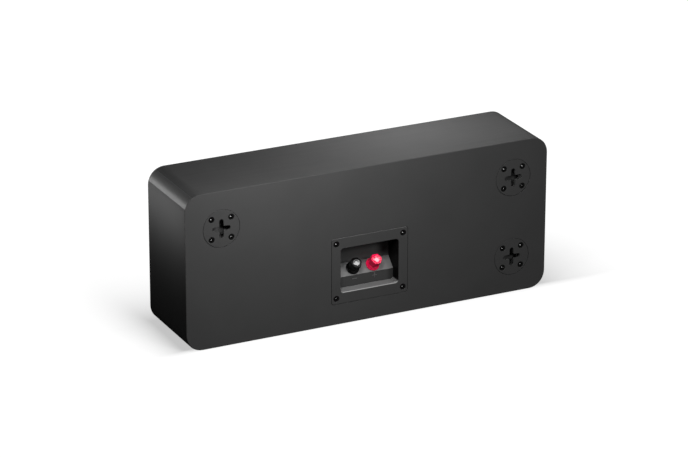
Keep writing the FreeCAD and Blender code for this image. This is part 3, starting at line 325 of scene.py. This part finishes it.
def make_finishes():
    """Each finish: slot, dark and light colour, range of roughness, size and relief of the grain."""
    made = [
        cabinet_paint("cabinet_paint", 0.0),
        plain("baffle_paint", grey(0.018), grey(0.026), (0.55, 0.7), 0.7 * MM, 0.03 * MM, specular=0.3),
        plain("grille_board", grey(0.028, 0.08), grey(0.042, 0.1), (0.7, 0.85), 0.5 * MM, 0.05 * MM),
        woven("grille_fabric", grey(0.006), grey(0.03), (0.75, 0.95), 0.9 * MM, 0.25 * MM),
        plain("plate_paint", grey(0.036), grey(0.038), SATIN, 0.6 * MM, 0.008 * MM, specular=0.02),
        plain("screw_black", grey(0.002), grey(0.003), (0.2, 0.3), 0.6 * MM, 0.004 * MM, specular=0.02),
        cup_plastic(),
        plain("post_black", grey(0.002), grey(0.003), (0.10, 0.16), 1.5 * MM, 0.004 * MM, specular=0.05),
        plain("post_red", *POST_RED, (0.10, 0.16), 1.5 * MM, 0.004 * MM, specular=0.12),
        plain("contact_metal", (0.70, 0.67, 0.62), (0.82, 0.80, 0.76), (0.14, 0.24), 0.4 * MM, 0.004 * MM,
              metallic=1.0),
        plain("tag_metal", (0.60, 0.56, 0.46), (0.74, 0.70, 0.60), (0.25, 0.4), 0.6 * MM, 0.01 * MM,
              metallic=1.0),
        plain("magnet_ferrite", grey(0.035), grey(0.06), (0.45, 0.65), 0.9 * MM, 0.04 * MM),
        plain("disc_magnet", grey(0.62), grey(0.72), (0.15, 0.25), 0.6 * MM, 0.005 * MM, metallic=1.0),
        plain("motor_steel", (0.48, 0.47, 0.42), (0.60, 0.60, 0.58), (0.28, 0.42), 1.2 * MM, 0.01 * MM,
              metallic=1.0),
        plain("basket_paint", grey(0.016), grey(0.022), (0.35, 0.5), 0.6 * MM, 0.02 * MM),
        plain("surround_rubber", grey(0.012), grey(0.020), (0.5, 0.65), 0.5 * MM, 0.01 * MM, specular=0.35),
        plain("cone_pulp", grey(0.022), grey(0.045), (0.7, 0.9), 0.7 * MM, 0.10 * MM, 2.5 * MM, specular=0.2),
        woven("spider_cloth", (0.30, 0.17, 0.05), (0.46, 0.30, 0.11), (0.75, 0.95), 0.7 * MM, 0.15 * MM),
        wound("coil_copper", (0.66, 0.25, 0.09), (0.80, 0.36, 0.16), 0.6 * MM),
        plain("tweeter_plastic", grey(0.016), grey(0.021), (0.3, 0.42), 0.5 * MM, 0.012 * MM),
        woven("dome_silk", grey(0.02), grey(0.045), (0.6, 0.8), 0.25 * MM, 0.04 * MM),
        plain("board_laminate", (0.012, 0.085, 0.035), (0.018, 0.115, 0.05), (0.25, 0.4), 1.0 * MM,
              0.01 * MM),
        plain("nylon", (0.66, 0.64, 0.57), (0.74, 0.72, 0.66), (0.35, 0.5), 0.8 * MM, 0.01 * MM),
        plain("capacitor_film", (0.58, 0.36, 0.03), (0.70, 0.46, 0.05), (0.28, 0.4), 1.5 * MM, 0.03 * MM),
        plain("resistor_cement", grey(0.55, 0.02), grey(0.68, 0.02), (0.8, 0.95), 0.6 * MM, 0.10 * MM,
              2 * MM),
        plain("wire_cover", grey(0.014), grey(0.020), (0.35, 0.5), 1.0 * MM, 0.02 * MM),
        plain("wadding_fibre", grey(0.50, 0.02), grey(0.72, 0.02), (0.85, 1.0), 1.2 * MM, 0.9 * MM, 6 * MM,
              specular=0.1),
        foam("gasket_foam", grey(0.012), grey(0.022), 0.6 * MM, 0.2 * MM),
    ]
    return {finish.material.name: finish.material for finish in made}


FINISHES = make_finishes()
for name, node in NODES.items():
    node.data.materials.clear()
    node.data.materials.append(FINISHES[SLOTS[name]])


# Cabinet: glossier paint on the steeper part of the two upper bends
CORNER_SPECULAR = 0.3
BEND_SHARE, BEND_TOP = 0.27, 0.85


def polish_corners():
    """A second paint on the faces whose normals lie between the top and an end."""
    mesh = NODES["cabinet"].data
    mesh.materials.append(cabinet_paint("cabinet_corner_paint", CORNER_SPECULAR).material)
    for face in mesh.polygons:
        rise = face.normal.z
        face.material_index = int(rise < BEND_TOP and abs(face.normal.x) * rise > BEND_SHARE)


polish_corners()


# Binding posts: softened edges
WELD_GAP = 0.002 * MM
BEVEL_SEGMENTS = 2
BEVEL_ANGLE = math.radians(28)
CAP_EDGE, COLLAR_EDGE, METAL_EDGE = 0.35 * MM, 0.25 * MM, 0.12 * MM
RING_SHRINK = 0.02 * MM


def soften(name, width, shrink=0.0):
    """Rounds the hard edges of a CAD node with modifiers, and may draw its faces in by a hair."""
    node = NODES[name]
    weld = node.modifiers.new("weld", "WELD")
    weld.merge_threshold = WELD_GAP
    if shrink:
        draw_in = node.modifiers.new("draw_in", "DISPLACE")
        draw_in.strength = -shrink
        draw_in.mid_level = 0.0
    bevel = node.modifiers.new("bevel", "BEVEL")
    bevel.width = width
    bevel.segments = BEVEL_SEGMENTS
    bevel.limit_method = "ANGLE"
    bevel.angle_limit = BEVEL_ANGLE
    node.modifiers.new("normals", "WEIGHTED_NORMAL")


for pole in POLES:
    soften(pole + "_cap", CAP_EDGE)
    soften(pole + "_collar", COLLAR_EDGE)
    soften(pole + "_cap_insert", METAL_EDGE)
    soften(pole + "_clamp_ring", METAL_EDGE, shrink=RING_SHRINK)


# Ways to make new pieces
SCREW_SMOOTH, TURNED_SMOOTH, RING_SMOOTH = math.radians(32), math.radians(40), math.radians(50)


def new_piece(name, mesh, slot, *replaced, body="cabinet", looks=None):
    """A piece in the place of the CAD nodes that it replaces, riding on a body unless body is None."""
    piece = bpy.data.objects.new(name, mesh)
    bpy.context.scene.collection.objects.link(piece)
    for look in looks or [FINISHES[slot]]:
        mesh.materials.append(look)
    if body:
        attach(piece, body)
    if replaced:
        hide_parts(*replaced)
    return piece


def mesh_of(shape, name, smooth_angle=None):
    """A mesh from a bmesh, with smooth shading over the edges that turn by less than an angle."""
    mesh = bpy.data.meshes.new(name)
    shape.to_mesh(mesh)
    shape.free()
    if smooth_angle is not None:
        mesh.shade_smooth()
        mesh.set_sharp_from_angle(angle=smooth_angle)
    return mesh


def bridge(shape, lower, upper, closed=True):
    """Quads between two rows of points."""
    count = len(lower)
    for step in range(count if closed else count - 1):
        after = (step + 1) % count
        shape.faces.new((lower[step], lower[after], upper[after], upper[step]))


def ring_angles(count):
    return [math.tau * step / count for step in range(count)]


# Screws
BACK_HEAD, BACK_SHANK = 3.8 * MM, 1.75 * MM
DRIVER_HEAD, DRIVER_SHANK = 3.0 * MM, 1.5 * MM
# The rounded edge of a head: how far it is drawn in from the head's radius, and how deep it lies
HEAD_EDGE = ((0.18 * MM, 0.0), (0.10 * MM, 0.03 * MM), (0.12 * MM, 0.07 * MM))
FACE_SHARE = 0.45
NECK_SHARE, NECK_LENGTH, THREAD_START = 0.94, 0.3 * MM, 0.9 * MM
PITCH_SHARE, ROOT_SHARE, CREST_SHARE, TIP_SHARE = 0.75, 0.68, 0.98, 1.9
THREAD_SIDES, ROWS_PER_TURN = 24, 6


def turned_screw(head, shank, length):
    """A countersunk wood screw, its head's face at z = 0 and its tip below."""
    shape = bmesh.new()
    cone_end = head - shank
    pitch, root, crest, tip = (shank * share for share in (PITCH_SHARE, ROOT_SHARE, CREST_SHARE, TIP_SHARE))
    angles = ring_angles(THREAD_SIDES)

    def thread_radius(depth, angle):
        """The root with a ridge over the middle half of each turn, narrowing to the tip."""
        phase = (depth / pitch - angle / math.tau) % 1.0
        height = max(0.0, 1 - abs(phase - 0.5) * 4)
        return (root + (crest - root) * height) * min(1.0, (length - depth) / tip)

    profile = [(head * FACE_SHARE, 0.0)] + [(head - inset, depth) for inset, depth in HEAD_EDGE]
    profile += [(shank, cone_end), (shank * NECK_SHARE, cone_end + NECK_LENGTH)]
    rows = [([radius] * THREAD_SIDES, depth) for radius, depth in profile]
    start = cone_end + THREAD_START
    count = int((length - start) / pitch * ROWS_PER_TURN)
    for step in range(count):
        depth = start + (length - start) * step / count
        rows.append(([thread_radius(depth, angle) for angle in angles], depth))
    rings = []
    for radii, depth in rows:
        spots = [(r * math.cos(angle), r * math.sin(angle), -depth) for r, angle in zip(radii, angles)]
        rings.append([shape.verts.new(spot) for spot in spots])
    for lower, upper in zip(rings, rings[1:]):
        bridge(shape, upper, lower)
    shape.faces.new(rings[0])
    end = shape.verts.new((0, 0, -length))
    last = rings[-1]
    for step in range(THREAD_SIDES):
        shape.faces.new((last[step], end, last[(step + 1) % THREAD_SIDES]))
    bmesh.ops.recalc_face_normals(shape, faces=shape.faces)
    return shape


# The driver recess, as shares of the head's radius, and its rows: share of the depth and scale of the cross
RECESS_DEPTH, RECESS_REACH, RECESS_WIDTH = 0.36, 0.52, 0.25
CROSS_ABOVE, CROSS_WIDEST = 0.4 * MM, 1.12
CROSS_ROWS = ((0.55, 0.78), (1.0, 0.36))
CROSS_WEB = 0.75


def cross_cutter(reach, width, depth):
    """A tapering cross that cuts the driver recess."""
    shape = bmesh.new()
    rows = []
    levels = [(CROSS_ABOVE, CROSS_WIDEST)] + [(-depth * share, scale) for share, scale in CROSS_ROWS]
    for level, scale in levels:
        arm = reach * scale
        half = width / 2 * (CROSS_WEB + (1 - CROSS_WEB) * scale)
        corners = []
        for quarter in range(4):
            turn = Matrix.Rotation(quarter * math.pi / 2, 3, "Z")
            for x, y in ((half, half), (half, arm), (-half, arm)):
                corners.append(shape.verts.new(turn @ Vector((x, y, level))))
        rows.append(corners)
    for lower, upper in zip(rows, rows[1:]):
        bridge(shape, lower, upper)
    shape.faces.new(rows[0])
    shape.faces.new(rows[-1])
    bmesh.ops.recalc_face_normals(shape, faces=shape.faces)
    return shape


def cut(shape, cutter):
    """The first shape with the second taken out of it."""
    block = bpy.data.objects.new("block", mesh_of(shape, "block"))
    tool = bpy.data.objects.new("tool", mesh_of(cutter, "tool"))
    for item in (block, tool):
        bpy.context.scene.collection.objects.link(item)
    boolean = block.modifiers.new("cut", "BOOLEAN")
    boolean.operation = "DIFFERENCE"
    boolean.solver = "EXACT"
    boolean.object = tool
    evaluated = block.evaluated_get(bpy.context.evaluated_depsgraph_get())
    result = bmesh.new()
    result.from_mesh(evaluated.to_mesh())
    for item in (block, tool):
        mesh = item.data
        bpy.data.objects.remove(item)
        bpy.data.meshes.remove(mesh)
    return result


# How near a vertex lies to the plane of the heads, and to the other vertices of its head
HEAD_PLANE_GAP = 0.01 * MM
HEAD_REACH = 10 * MM


def head_places(node, y):
    """The middle of each screw head of a CAD node whose heads lie in the plane at y."""
    rings = []
    for vertex in NODES[node].data.vertices:
        if abs(vertex.co.y - y) < HEAD_PLANE_GAP:
            near = [ring for ring in rings if (ring[0] - vertex.co).length < HEAD_REACH]
            if near:
                near[0].append(vertex.co.copy())
            else:
                rings.append([vertex.co.copy()])
    return [(Vector(map(min, *ring)) + Vector(map(max, *ring))) / 2 for ring in rings]


# Bare steel on the bottom of each recess: how level a face is there, and where, as shares of the depth
WORN_STEEL = plain(
    "worn_steel", grey(0.65), grey(0.85), (0.3, 0.45), 0.4 * MM, 0.01 * MM, 1 * MM, metallic=1.0
)
WORN_LEVEL = 0.2
WORN_BAND = (0.9, 1.1)
GOLDEN_TURN = 2.39996


def screw_set(node, head, shank, facing):
    """Replaces a CAD set of screws. Facing is +1 for heads in the back and -1 for heads in the front."""
    low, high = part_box(node)
    y = high.y if facing > 0 else low.y
    recess = head * RECESS_DEPTH
    cutter = cross_cutter(head * RECESS_REACH, head * RECESS_WIDTH, recess)
    screw = cut(turned_screw(head, shank, high.y - low.y), cutter)
    for face in screw.faces:
        depth = -face.calc_center_median().z / recess
        face.material_index = int(face.normal.z > WORN_LEVEL and WORN_BAND[0] < depth < WORN_BAND[1])
    single = mesh_of(screw, node + "_single")
    joined = bmesh.new()
    lie_down = Matrix.Rotation(-facing * math.pi / 2, 4, "X")
    for number, place in enumerate(head_places(node, y)):
        spin = Matrix.Rotation(GOLDEN_TURN * number, 4, "Z")
        copy = single.copy()
        copy.transform(Matrix.Translation((place.x, y, place.z)) @ lie_down @ spin)
        joined.from_mesh(copy)
        bpy.data.meshes.remove(copy)
    bpy.data.meshes.remove(single)
    mesh = mesh_of(joined, node + "_threaded", SCREW_SMOOTH)
    looks = [FINISHES[SLOTS[node]], WORN_STEEL.material]
    new_piece(node + "_threaded", mesh, SLOTS[node], node, looks=looks)


screw_set("keyhole_plate_screws", BACK_HEAD, BACK_SHANK, 1)
screw_set("terminal_cup_screws", BACK_HEAD, BACK_SHANK, 1)
screw_set("woofer_screws", DRIVER_HEAD, DRIVER_SHANK, -1)
screw_set("tweeter_screws", DRIVER_HEAD, DRIVER_SHANK, -1)


# Woofer suspension: the number of sectors each ring is cut into, and the gap of the cuts
RING_SECTORS = 12
SECTOR_CUT_GAP = 1e-7


def ring_sector(node, middle, angle):
    """The part of a CAD ring about the Y axis that lies round an angle, closed where it is cut."""
    shape = bmesh.new()
    shape.from_mesh(NODES[node].data)
    bmesh.ops.remove_doubles(shape, verts=shape.verts, dist=WELD_GAP)
    for side in (-1, 1):
        edge = angle + side * math.pi / RING_SECTORS
        away = Vector((-math.sin(edge), 0, math.cos(edge))) * side
        cut_off = bmesh.ops.bisect_plane(
            shape, geom=shape.verts[:] + shape.edges[:] + shape.faces[:], dist=SECTOR_CUT_GAP,
            plane_co=middle, plane_no=away, clear_outer=True
        )
        rim = [item for item in cut_off["geom_cut"] if isinstance(item, bmesh.types.BMEdge)]
        bmesh.ops.holes_fill(shape, edges=rim, sides=0)
    bmesh.ops.recalc_face_normals(shape, faces=shape.faces)
    return shape


def flexing_ring(node):
    """A suspension ring, cut into sectors that are pieces of their own on no body."""
    low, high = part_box(node)
    middle = (low + high) / 2
    for number, angle in enumerate(ring_angles(RING_SECTORS), 1):
        name = f"{node}_sector_{number:02d}"
        mesh = mesh_of(ring_sector(node, middle, angle), name, RING_SMOOTH)
        sector = new_piece(name, mesh, SLOTS[node], node, body=None)
        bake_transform(sector)


for side in ("right", "left"):
    flexing_ring(f"woofer_{side}_surround")
    flexing_ring(f"woofer_{side}_spider")


# Socket plugs. The outline gives radii, and heights first from the plug's top and then from the cap's end.
PLUG_DISH, PLUG_HOLLOW, PLUG_RISE = 3.7 * MM, 0.18 * MM, 0.30 * MM
PLUG_EDGE = ((4.15 * MM, -0.02 * MM), (4.35 * MM, -0.15 * MM))
PLUG_UNDERSIDE = (
    (4.35 * MM, 0.03 * MM), (3.55 * MM, 0.02 * MM), (2.15 * MM, -1.2 * MM),
    (1.95 * MM, -1.3 * MM), (1.95 * MM, -6.0 * MM), (1.6 * MM, -6.6 * MM),
)
PLUG_SIDES, DISH_RINGS = 40, 8
PLUG_ROUGH = (0.08, 0.12)
PLUG_LOOKS = {
    "negative": plain("plug_black", grey(0.002), grey(0.003), PLUG_ROUGH, 1.5 * MM, 0.002 * MM, specular=1.0),
    "positive": plain("plug_red", *POST_RED, PLUG_ROUGH, 1.5 * MM, 0.002 * MM, specular=1.0),
}


def post_foot(pole):
    """Where the axis of a binding post starts, from the joint about which its cap turns."""
    return Vector(JOINTS[pole + "_cap_turn"]["pos_m"])


def socket_plug(pole):
    """A glossy button with a shallow dish and a stem, which closes the socket in the end of a cap."""
    foot, axis = post_foot(pole), Vector(JOINTS[pole + "_cap_turn"]["axis"])
    cap_end = max((vertex.co - foot).dot(axis) for vertex in NODES[pole + "_cap"].data.vertices)
    top = cap_end + PLUG_RISE
    radii = [PLUG_DISH * ring / DISH_RINGS for ring in range(1, DISH_RINGS + 1)]
    profile = [(radius, top - PLUG_HOLLOW * (1 - (radius / PLUG_DISH) ** 2)) for radius in radii]
    profile += [(radius, top + height) for radius, height in PLUG_EDGE]
    profile += [(radius, cap_end + height) for radius, height in PLUG_UNDERSIDE]
    shape = bmesh.new()
    angles = ring_angles(PLUG_SIDES)
    rings = []
    for radius, height in profile:
        rings.append([shape.verts.new((radius * math.cos(a), radius * math.sin(a), height)) for a in angles])
    for lower, upper in zip(rings, rings[1:]):
        bridge(shape, lower, upper)
    middle = shape.verts.new((0, 0, top - PLUG_HOLLOW))
    for step in range(PLUG_SIDES):
        shape.faces.new((rings[0][step], rings[0][(step + 1) % PLUG_SIDES], middle))
    shape.faces.new(rings[-1])
    bmesh.ops.recalc_face_normals(shape, faces=shape.faces)
    turn = Vector((0, 0, 1)).rotation_difference(axis).to_matrix().to_4x4()
    bmesh.ops.transform(shape, matrix=Matrix.Translation(foot) @ turn, verts=shape.verts)
    name = pole + "_socket_plug"
    mesh = mesh_of(shape, name, TURNED_SMOOTH)
    new_piece(name, mesh, SLOTS[pole + "_cap"], body=pole + "_cap", looks=[PLUG_LOOKS[pole].material])


for pole in POLES:
    socket_plug(pole)


# Signs on the upright step under the posts
RISER_Y = 40.0 * MM
SIGN_Z = 49.3 * MM
SIGN_LENGTH, SIGN_WIDTH, SIGN_RELIEF = 6.4 * MM, 1.1 * MM, 0.4 * MM
SIGN_ROOT, SIGN_EDGE = 0.05 * MM, 0.1 * MM
SIGN_PAINT = plain("sign_paint", grey(0.055), grey(0.065), (0.4, 0.5), 0.4 * MM, 0.01 * MM, specular=0.2)


def bar_outline():
    long, half = SIGN_LENGTH / 2, SIGN_WIDTH / 2
    return [(-long, -half), (long, -half), (long, half), (-long, half)]


def cross_outline():
    long, half = SIGN_LENGTH / 2, SIGN_WIDTH / 2
    outline = []
    for quarter in range(4):
        turn = Matrix.Rotation(quarter * math.pi / 2, 2)
        outline += [turn @ Vector(point) for point in ((half, half), (half, long), (-half, long))]
    return outline


def sign(name, pole, outline):
    """A raised sign under a post, with rounded edges."""
    x = post_foot(pole).x
    shape = bmesh.new()
    foot = [shape.verts.new((x + a, RISER_Y - SIGN_ROOT, SIGN_Z + b)) for a, b in outline]
    top = [shape.verts.new((x + a, RISER_Y + SIGN_RELIEF, SIGN_Z + b)) for a, b in outline]
    bridge(shape, foot, top)
    shape.faces.new(foot)
    face = shape.faces.new(top)
    bmesh.ops.recalc_face_normals(shape, faces=shape.faces)
    bmesh.ops.bevel(
        shape, geom=list(face.edges), offset=SIGN_EDGE, segments=2, affect="EDGES", profile=0.5,
        clamp_overlap=True
    )
    new_piece(name, mesh_of(shape, name, TURNED_SMOOTH), "cup_plastic", looks=[SIGN_PAINT.material])


sign("minus_sign", "negative", bar_outline())
sign("plus_sign", "positive", cross_outline())


# Grille cloth. The windows are the openings in the frame behind it.
CLOTH_ROUND = 1.5 * MM
CLOTH_CORNER = 7.4 * MM
CLOTH_THICKNESS = 0.7 * MM
CLOTH_STEP = 4 * MM
CLOTH_SAG = 0.5 * MM
CORNER_STEPS, ROUND_STEPS = 4, 6
SIDE_ROWS = (4 * MM, 7 * MM)
WINDOWS_X = ((-211.6 * MM, -63.0 * MM), (-53.0 * MM, 53.0 * MM), (63.0 * MM, 211.6 * MM))
WINDOW_Z = (28.4 * MM, 167.6 * MM)


def hump(value, low, high):
    """0 at and outside the limits, 1 midway between them."""
    share = (value - low) / (high - low)
    return math.sin(math.pi * share) ** 2 if 0 < share < 1 else 0.0


def stretched_cloth():
    """Cloth over the grille's frame, round the rim and down the sides, slightly slack in the windows."""
    low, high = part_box("grille_cloth")
    middle, size = (low + high) / 2, high - low
    half_x = (high.x - low.x) / 2 - CLOTH_ROUND
    half_z = (high.z - low.z) / 2 - CLOTH_ROUND
    corner = CLOTH_CORNER - CLOTH_ROUND

    def stations(half):
        """Places of the grid's lines along one axis, closer together in the round corners."""
        count = round((half - corner) * 2 / CLOTH_STEP)
        straight = [(-half + corner) + (half - corner) * 2 * n / count for n in range(count + 1)]
        bend = [corner * n / CORNER_STEPS for n in range(CORNER_STEPS, 0, -1)]
        return [-half + corner - b for b in bend] + straight + [half - corner + b for b in reversed(bend)]

    def past_straight(place, half):
        """How far a place lies past the straight stretch of an edge."""
        return max(0.0, abs(place) - half + corner)

    def flat_point(x, z):
        """A point of the grid, moved so that the outline has round corners."""
        u = past_straight(x, half_x) / corner
        v = past_straight(z, half_z) / corner
        if u and v:
            x = math.copysign(half_x - corner + corner * u * math.sqrt(1 - v * v / 2), x)
            z = math.copysign(half_z - corner + corner * v * math.sqrt(1 - u * u / 2), z)
        return x, z

    def outward(vertex):
        """Which way is out at a point of the rim."""
        x, z = vertex.co.x - middle.x, vertex.co.z - middle.z
        away = (math.copysign(past_straight(x, half_x), x), 0, math.copysign(past_straight(z, half_z), z))
        return Vector(away).normalized()

    shape = bmesh.new()
    columns, rows = stations(half_x), stations(half_z)
    grid = []
    for column in columns:
        line = []
        for row in rows:
            x, z = flat_point(column, row)
            slack = sum(hump(x, *window) for window in WINDOWS_X) * hump(middle.z + z, *WINDOW_Z)
            line.append(shape.verts.new((middle.x + x, low.y + CLOTH_SAG * slack, middle.z + z)))
        grid.append(line)
    for left, right in zip(grid, grid[1:]):
        bridge(shape, left, right, closed=False)
    rim = [line[0] for line in grid] + grid[-1][1:]
    rim += [line[-1] for line in reversed(grid[:-1])] + grid[0][-2:0:-1]
    ways = [outward(vertex) for vertex in rim]
    turns = [math.pi / 2 * n / ROUND_STEPS for n in range(1, ROUND_STEPS + 1)]
    profile = [(CLOTH_ROUND * math.sin(turn), CLOTH_ROUND * (1 - math.cos(turn))) for turn in turns]
    profile += [(CLOTH_ROUND, depth) for depth in (*SIDE_ROWS, high.y - low.y)]
    previous = rim
    for out, back in profile:
        ring = [shape.verts.new(v.co + way * out + Vector((0, back, 0))) for v, way in zip(rim, ways)]
        bridge(shape, previous, ring)
        previous = ring
    bmesh.ops.recalc_face_normals(shape, faces=shape.faces)
    mesh = mesh_of(shape, "grille_cloth_woven")
    mesh.shade_smooth()
    cloth = new_piece("grille_cloth_woven", mesh, "grille_fabric", "grille_cloth")
    thicken = cloth.modifiers.new("thickness", "SOLIDIFY")
    thicken.thickness = CLOTH_THICKNESS
    thicken.offset = -1.0


stretched_cloth()


# Wadding. Its unevenness comes from lumps and tufts: how many to the metre, and the share of each.
PAD_STEP = 4 * MM
PAD_ROUND = 0.9
PAD_DIP = 1.6 * MM
PAD_EVEN = 0.5
PAD_UNEVEN = ((60, 0.5), (190, 0.25))


def lumpy_pad(node):
    """A soft pad of fibre in the space of a CAD block, rounded at its edges and uneven on its faces."""
    low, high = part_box(node)
    middle, half = (low + high) / 2, (high - low) / 2
    round_off = half.y * PAD_ROUND
    shape = bmesh.new()
    counts = [max(2, round(2 * h / PAD_STEP)) for h in half]
    points = {}

    def vertex(key):
        """The point at a place of the block's grid, made once and shared by its faces."""
        if key not in points:
            raw = Vector([-h + 2 * h * n / c for h, n, c in zip(half, key, counts)])
            core = Vector([max(-h + round_off, min(h - round_off, r)) for h, r in zip(half, raw)])
            outward = (raw - core).normalized()
            spot = core + outward * min(round_off, (raw - core).length)
            swell = PAD_EVEN + sum(share * noise.noise((spot + middle) * rate) for rate, share in PAD_UNEVEN)
            points[key] = shape.verts.new(middle + spot - outward * PAD_DIP * max(0.0, 1 - swell))
        return points[key]

    for axis in range(3):
        first, second = [n for n in range(3) if n != axis]
        for side in (0, counts[axis]):
            for a, b in product(range(counts[first]), range(counts[second])):
                corners = []
                for da, db in ((0, 0), (1, 0), (1, 1), (0, 1)):
                    key = [0, 0, 0]
                    key[axis], key[first], key[second] = side, a + da, b + db
                    corners.append(vertex(tuple(key)))
                shape.faces.new(corners)
    bmesh.ops.recalc_face_normals(shape, faces=shape.faces)
    mesh = mesh_of(shape, node + "_pad")
    mesh.shade_smooth()
    pad = new_piece(node + "_pad", mesh, "wadding_fibre", node)


lumpy_pad("wadding_right")
lumpy_pad("wadding_left")


# Camera, worked out from the straight edges in the photograph
IMAGE_WIDTH = 688
FOCAL_PIXELS = 3489.01
SENSOR_WIDTH = 36.0
FAR_CLIP = 100.0
CAMERA_PLACE = Vector((1.7359, 3.5071, 1.6325))
CAMERA_YAW = math.radians(26.2305)
CAMERA_PITCH = math.radians(21.4294)
CAMERA_ROLL = math.radians(0.1248)


def place_camera():
    data = bpy.data.cameras.new("camera")
    data.sensor_fit = "HORIZONTAL"
    data.sensor_width = SENSOR_WIDTH
    data.lens = FOCAL_PIXELS * SENSOR_WIDTH / IMAGE_WIDTH
    data.clip_end = FAR_CLIP
    camera = bpy.data.objects.new("camera", data)
    bpy.context.scene.collection.objects.link(camera)
    level = math.cos(CAMERA_PITCH)
    back = Vector((math.sin(CAMERA_YAW) * level, math.cos(CAMERA_YAW) * level, math.sin(CAMERA_PITCH)))
    right = (-back).cross(Vector((0, 0, 1))).normalized()
    up = back.cross(right)
    cosine, sine = math.cos(CAMERA_ROLL), math.sin(CAMERA_ROLL)
    axes = Matrix((right * cosine + up * sine, up * cosine - right * sine, back)).transposed()
    camera.matrix_world = Matrix.Translation(CAMERA_PLACE) @ axes.to_4x4()
    bpy.context.scene.camera = camera


place_camera()


# Floor: white where it is seen, with a soft shade round the object
FLOOR_HALF = 40.0
FLOOR_TONE = grey(0.12)
SHADE_DEPTH = 0.46
SHADE_REACH = 0.028
SHADE_INSET = 0.009
RIGHT_FADE, BEHIND_FADE, BACK_FADE = 0.4, 0.4, 3.0


def footprint_shade(paint):
    """Glow of the floor: dim at the footprint, rising to 1 away from it, at its own rate on each side."""
    low, high = cad_box
    place = paint.node("ShaderNodeTexCoord").outputs["Object"]
    below = paint.vector("SUBTRACT", (low.x, low.y, 0), place)
    below = paint.vector("MULTIPLY", below, (RIGHT_FADE, BEHIND_FADE, 1))
    above = paint.vector("SUBTRACT", place, (high.x, high.y - SHADE_INSET, 0))
    above = paint.vector("MULTIPLY", above, (1, BACK_FADE, 1))
    outside = paint.vector("MAXIMUM", paint.vector("MAXIMUM", below, above), (0, 0, 0))
    distance = paint.vector("LENGTH", outside)
    shade = paint.math("EXPONENT", paint.math("MULTIPLY", distance, -1 / SHADE_REACH))
    return paint.math("SUBTRACT", 1.0, paint.math("MULTIPLY", shade, SHADE_DEPTH))


def floor_paint():
    """A dull floor for the light that bounces, which also glows to the eye and in reflections."""
    paint = Paint("floor")
    paint.material.cycles.emission_sampling = "NONE"
    paint.tree.nodes.clear()
    rays = paint.node("ShaderNodeLightPath").outputs
    seen = paint.math("MAXIMUM", rays["Is Camera Ray"], rays["Is Glossy Ray"])
    seen = paint.math("MAXIMUM", seen, rays["Is Transmission Ray"])
    dull = paint.node("ShaderNodeBsdfDiffuse")
    dull.inputs["Color"].default_value = (*FLOOR_TONE, 1)
    glow = paint.node("ShaderNodeEmission")
    paint.link(paint.math("MULTIPLY", seen, footprint_shade(paint)), glow.inputs["Strength"])
    both = paint.node("ShaderNodeAddShader")
    paint.feed(both, dull.outputs["BSDF"], glow.outputs["Emission"])
    output = paint.node("ShaderNodeOutputMaterial")
    paint.link(both.outputs["Shader"], output.inputs["Surface"])
    return paint.material


def lay_floor():
    """A floor far larger than the view."""
    shape = bmesh.new()
    corners = ((-1, -1), (1, -1), (1, 1), (-1, 1))
    shape.faces.new([shape.verts.new((x * FLOOR_HALF, y * FLOOR_HALF, 0)) for x, y in corners])
    floor = bpy.data.objects.new("floor", mesh_of(shape, "floor"))
    bpy.context.scene.collection.objects.link(floor)
    floor.data.materials.append(floor_paint())


lay_floor()


# Lamps: place, aim, width and height in metres, and watts
LAMPS = {
    "key": ((0.16, 0.26, 0.34), (0.10, 0.054, 0.12), 0.10, 0.10, 1.18),
    "key_middle": ((-0.05, 0.26, 0.40), (0.06, 0.054, 0.14), 0.12, 0.12, 0.53),
    "front": ((-1.03, 2.0, 1.2), (0.0, 0.05, 0.1), 0.7, 0.5, 25.5),
    "overhead": ((-0.78, 0.615, 1.70), (0.0, 0.05, 0.06), 0.5, 0.5, 6.0),
    "top_pool": ((-0.10, -0.05, 0.36), (-0.10, 0.0, 0.196), 0.15, 0.10, 0.93),
    "end_strip": ((0.31, -0.03, 0.170), (0.24, -0.03, 0.202), 0.20, 0.02, 0.24),
    "far_side": ((-0.6, -2.0, 0.3), (0.0, -0.05, 0.1), 0.9, 0.4, 36.0),
    "corner_glint": ((0.717, -0.75, 0.222), (0.225, 0.0, 0.185), 0.24, 0.24, 1.0),
}
NOT_REFLECTED = ("end_strip",)
WORLD_LEVEL = 0.02


def light_stage():
    """Hangs the lamps, which the camera does not see, and sets a dim world."""
    for name, (place, aim, width, height, watts) in LAMPS.items():
        data = bpy.data.lights.new(name, "AREA")
        data.shape = "RECTANGLE"
        data.size = width
        data.size_y = height
        data.energy = watts
        lamp = bpy.data.objects.new(name, data)
        bpy.context.scene.collection.objects.link(lamp)
        lamp.location = place
        lamp.rotation_euler = (Vector(aim) - Vector(place)).to_track_quat("-Z", "Y").to_euler()
        lamp.visible_camera = False
        lamp.visible_glossy = name not in NOT_REFLECTED
    world = bpy.data.worlds.new("world")
    world.use_nodes = True
    world.node_tree.nodes["Background"].inputs["Color"].default_value = (*grey(WORLD_LEVEL), 1)
    bpy.context.scene.world = world


light_stage()
bpy.context.scene.view_settings.view_transform = "Standard"
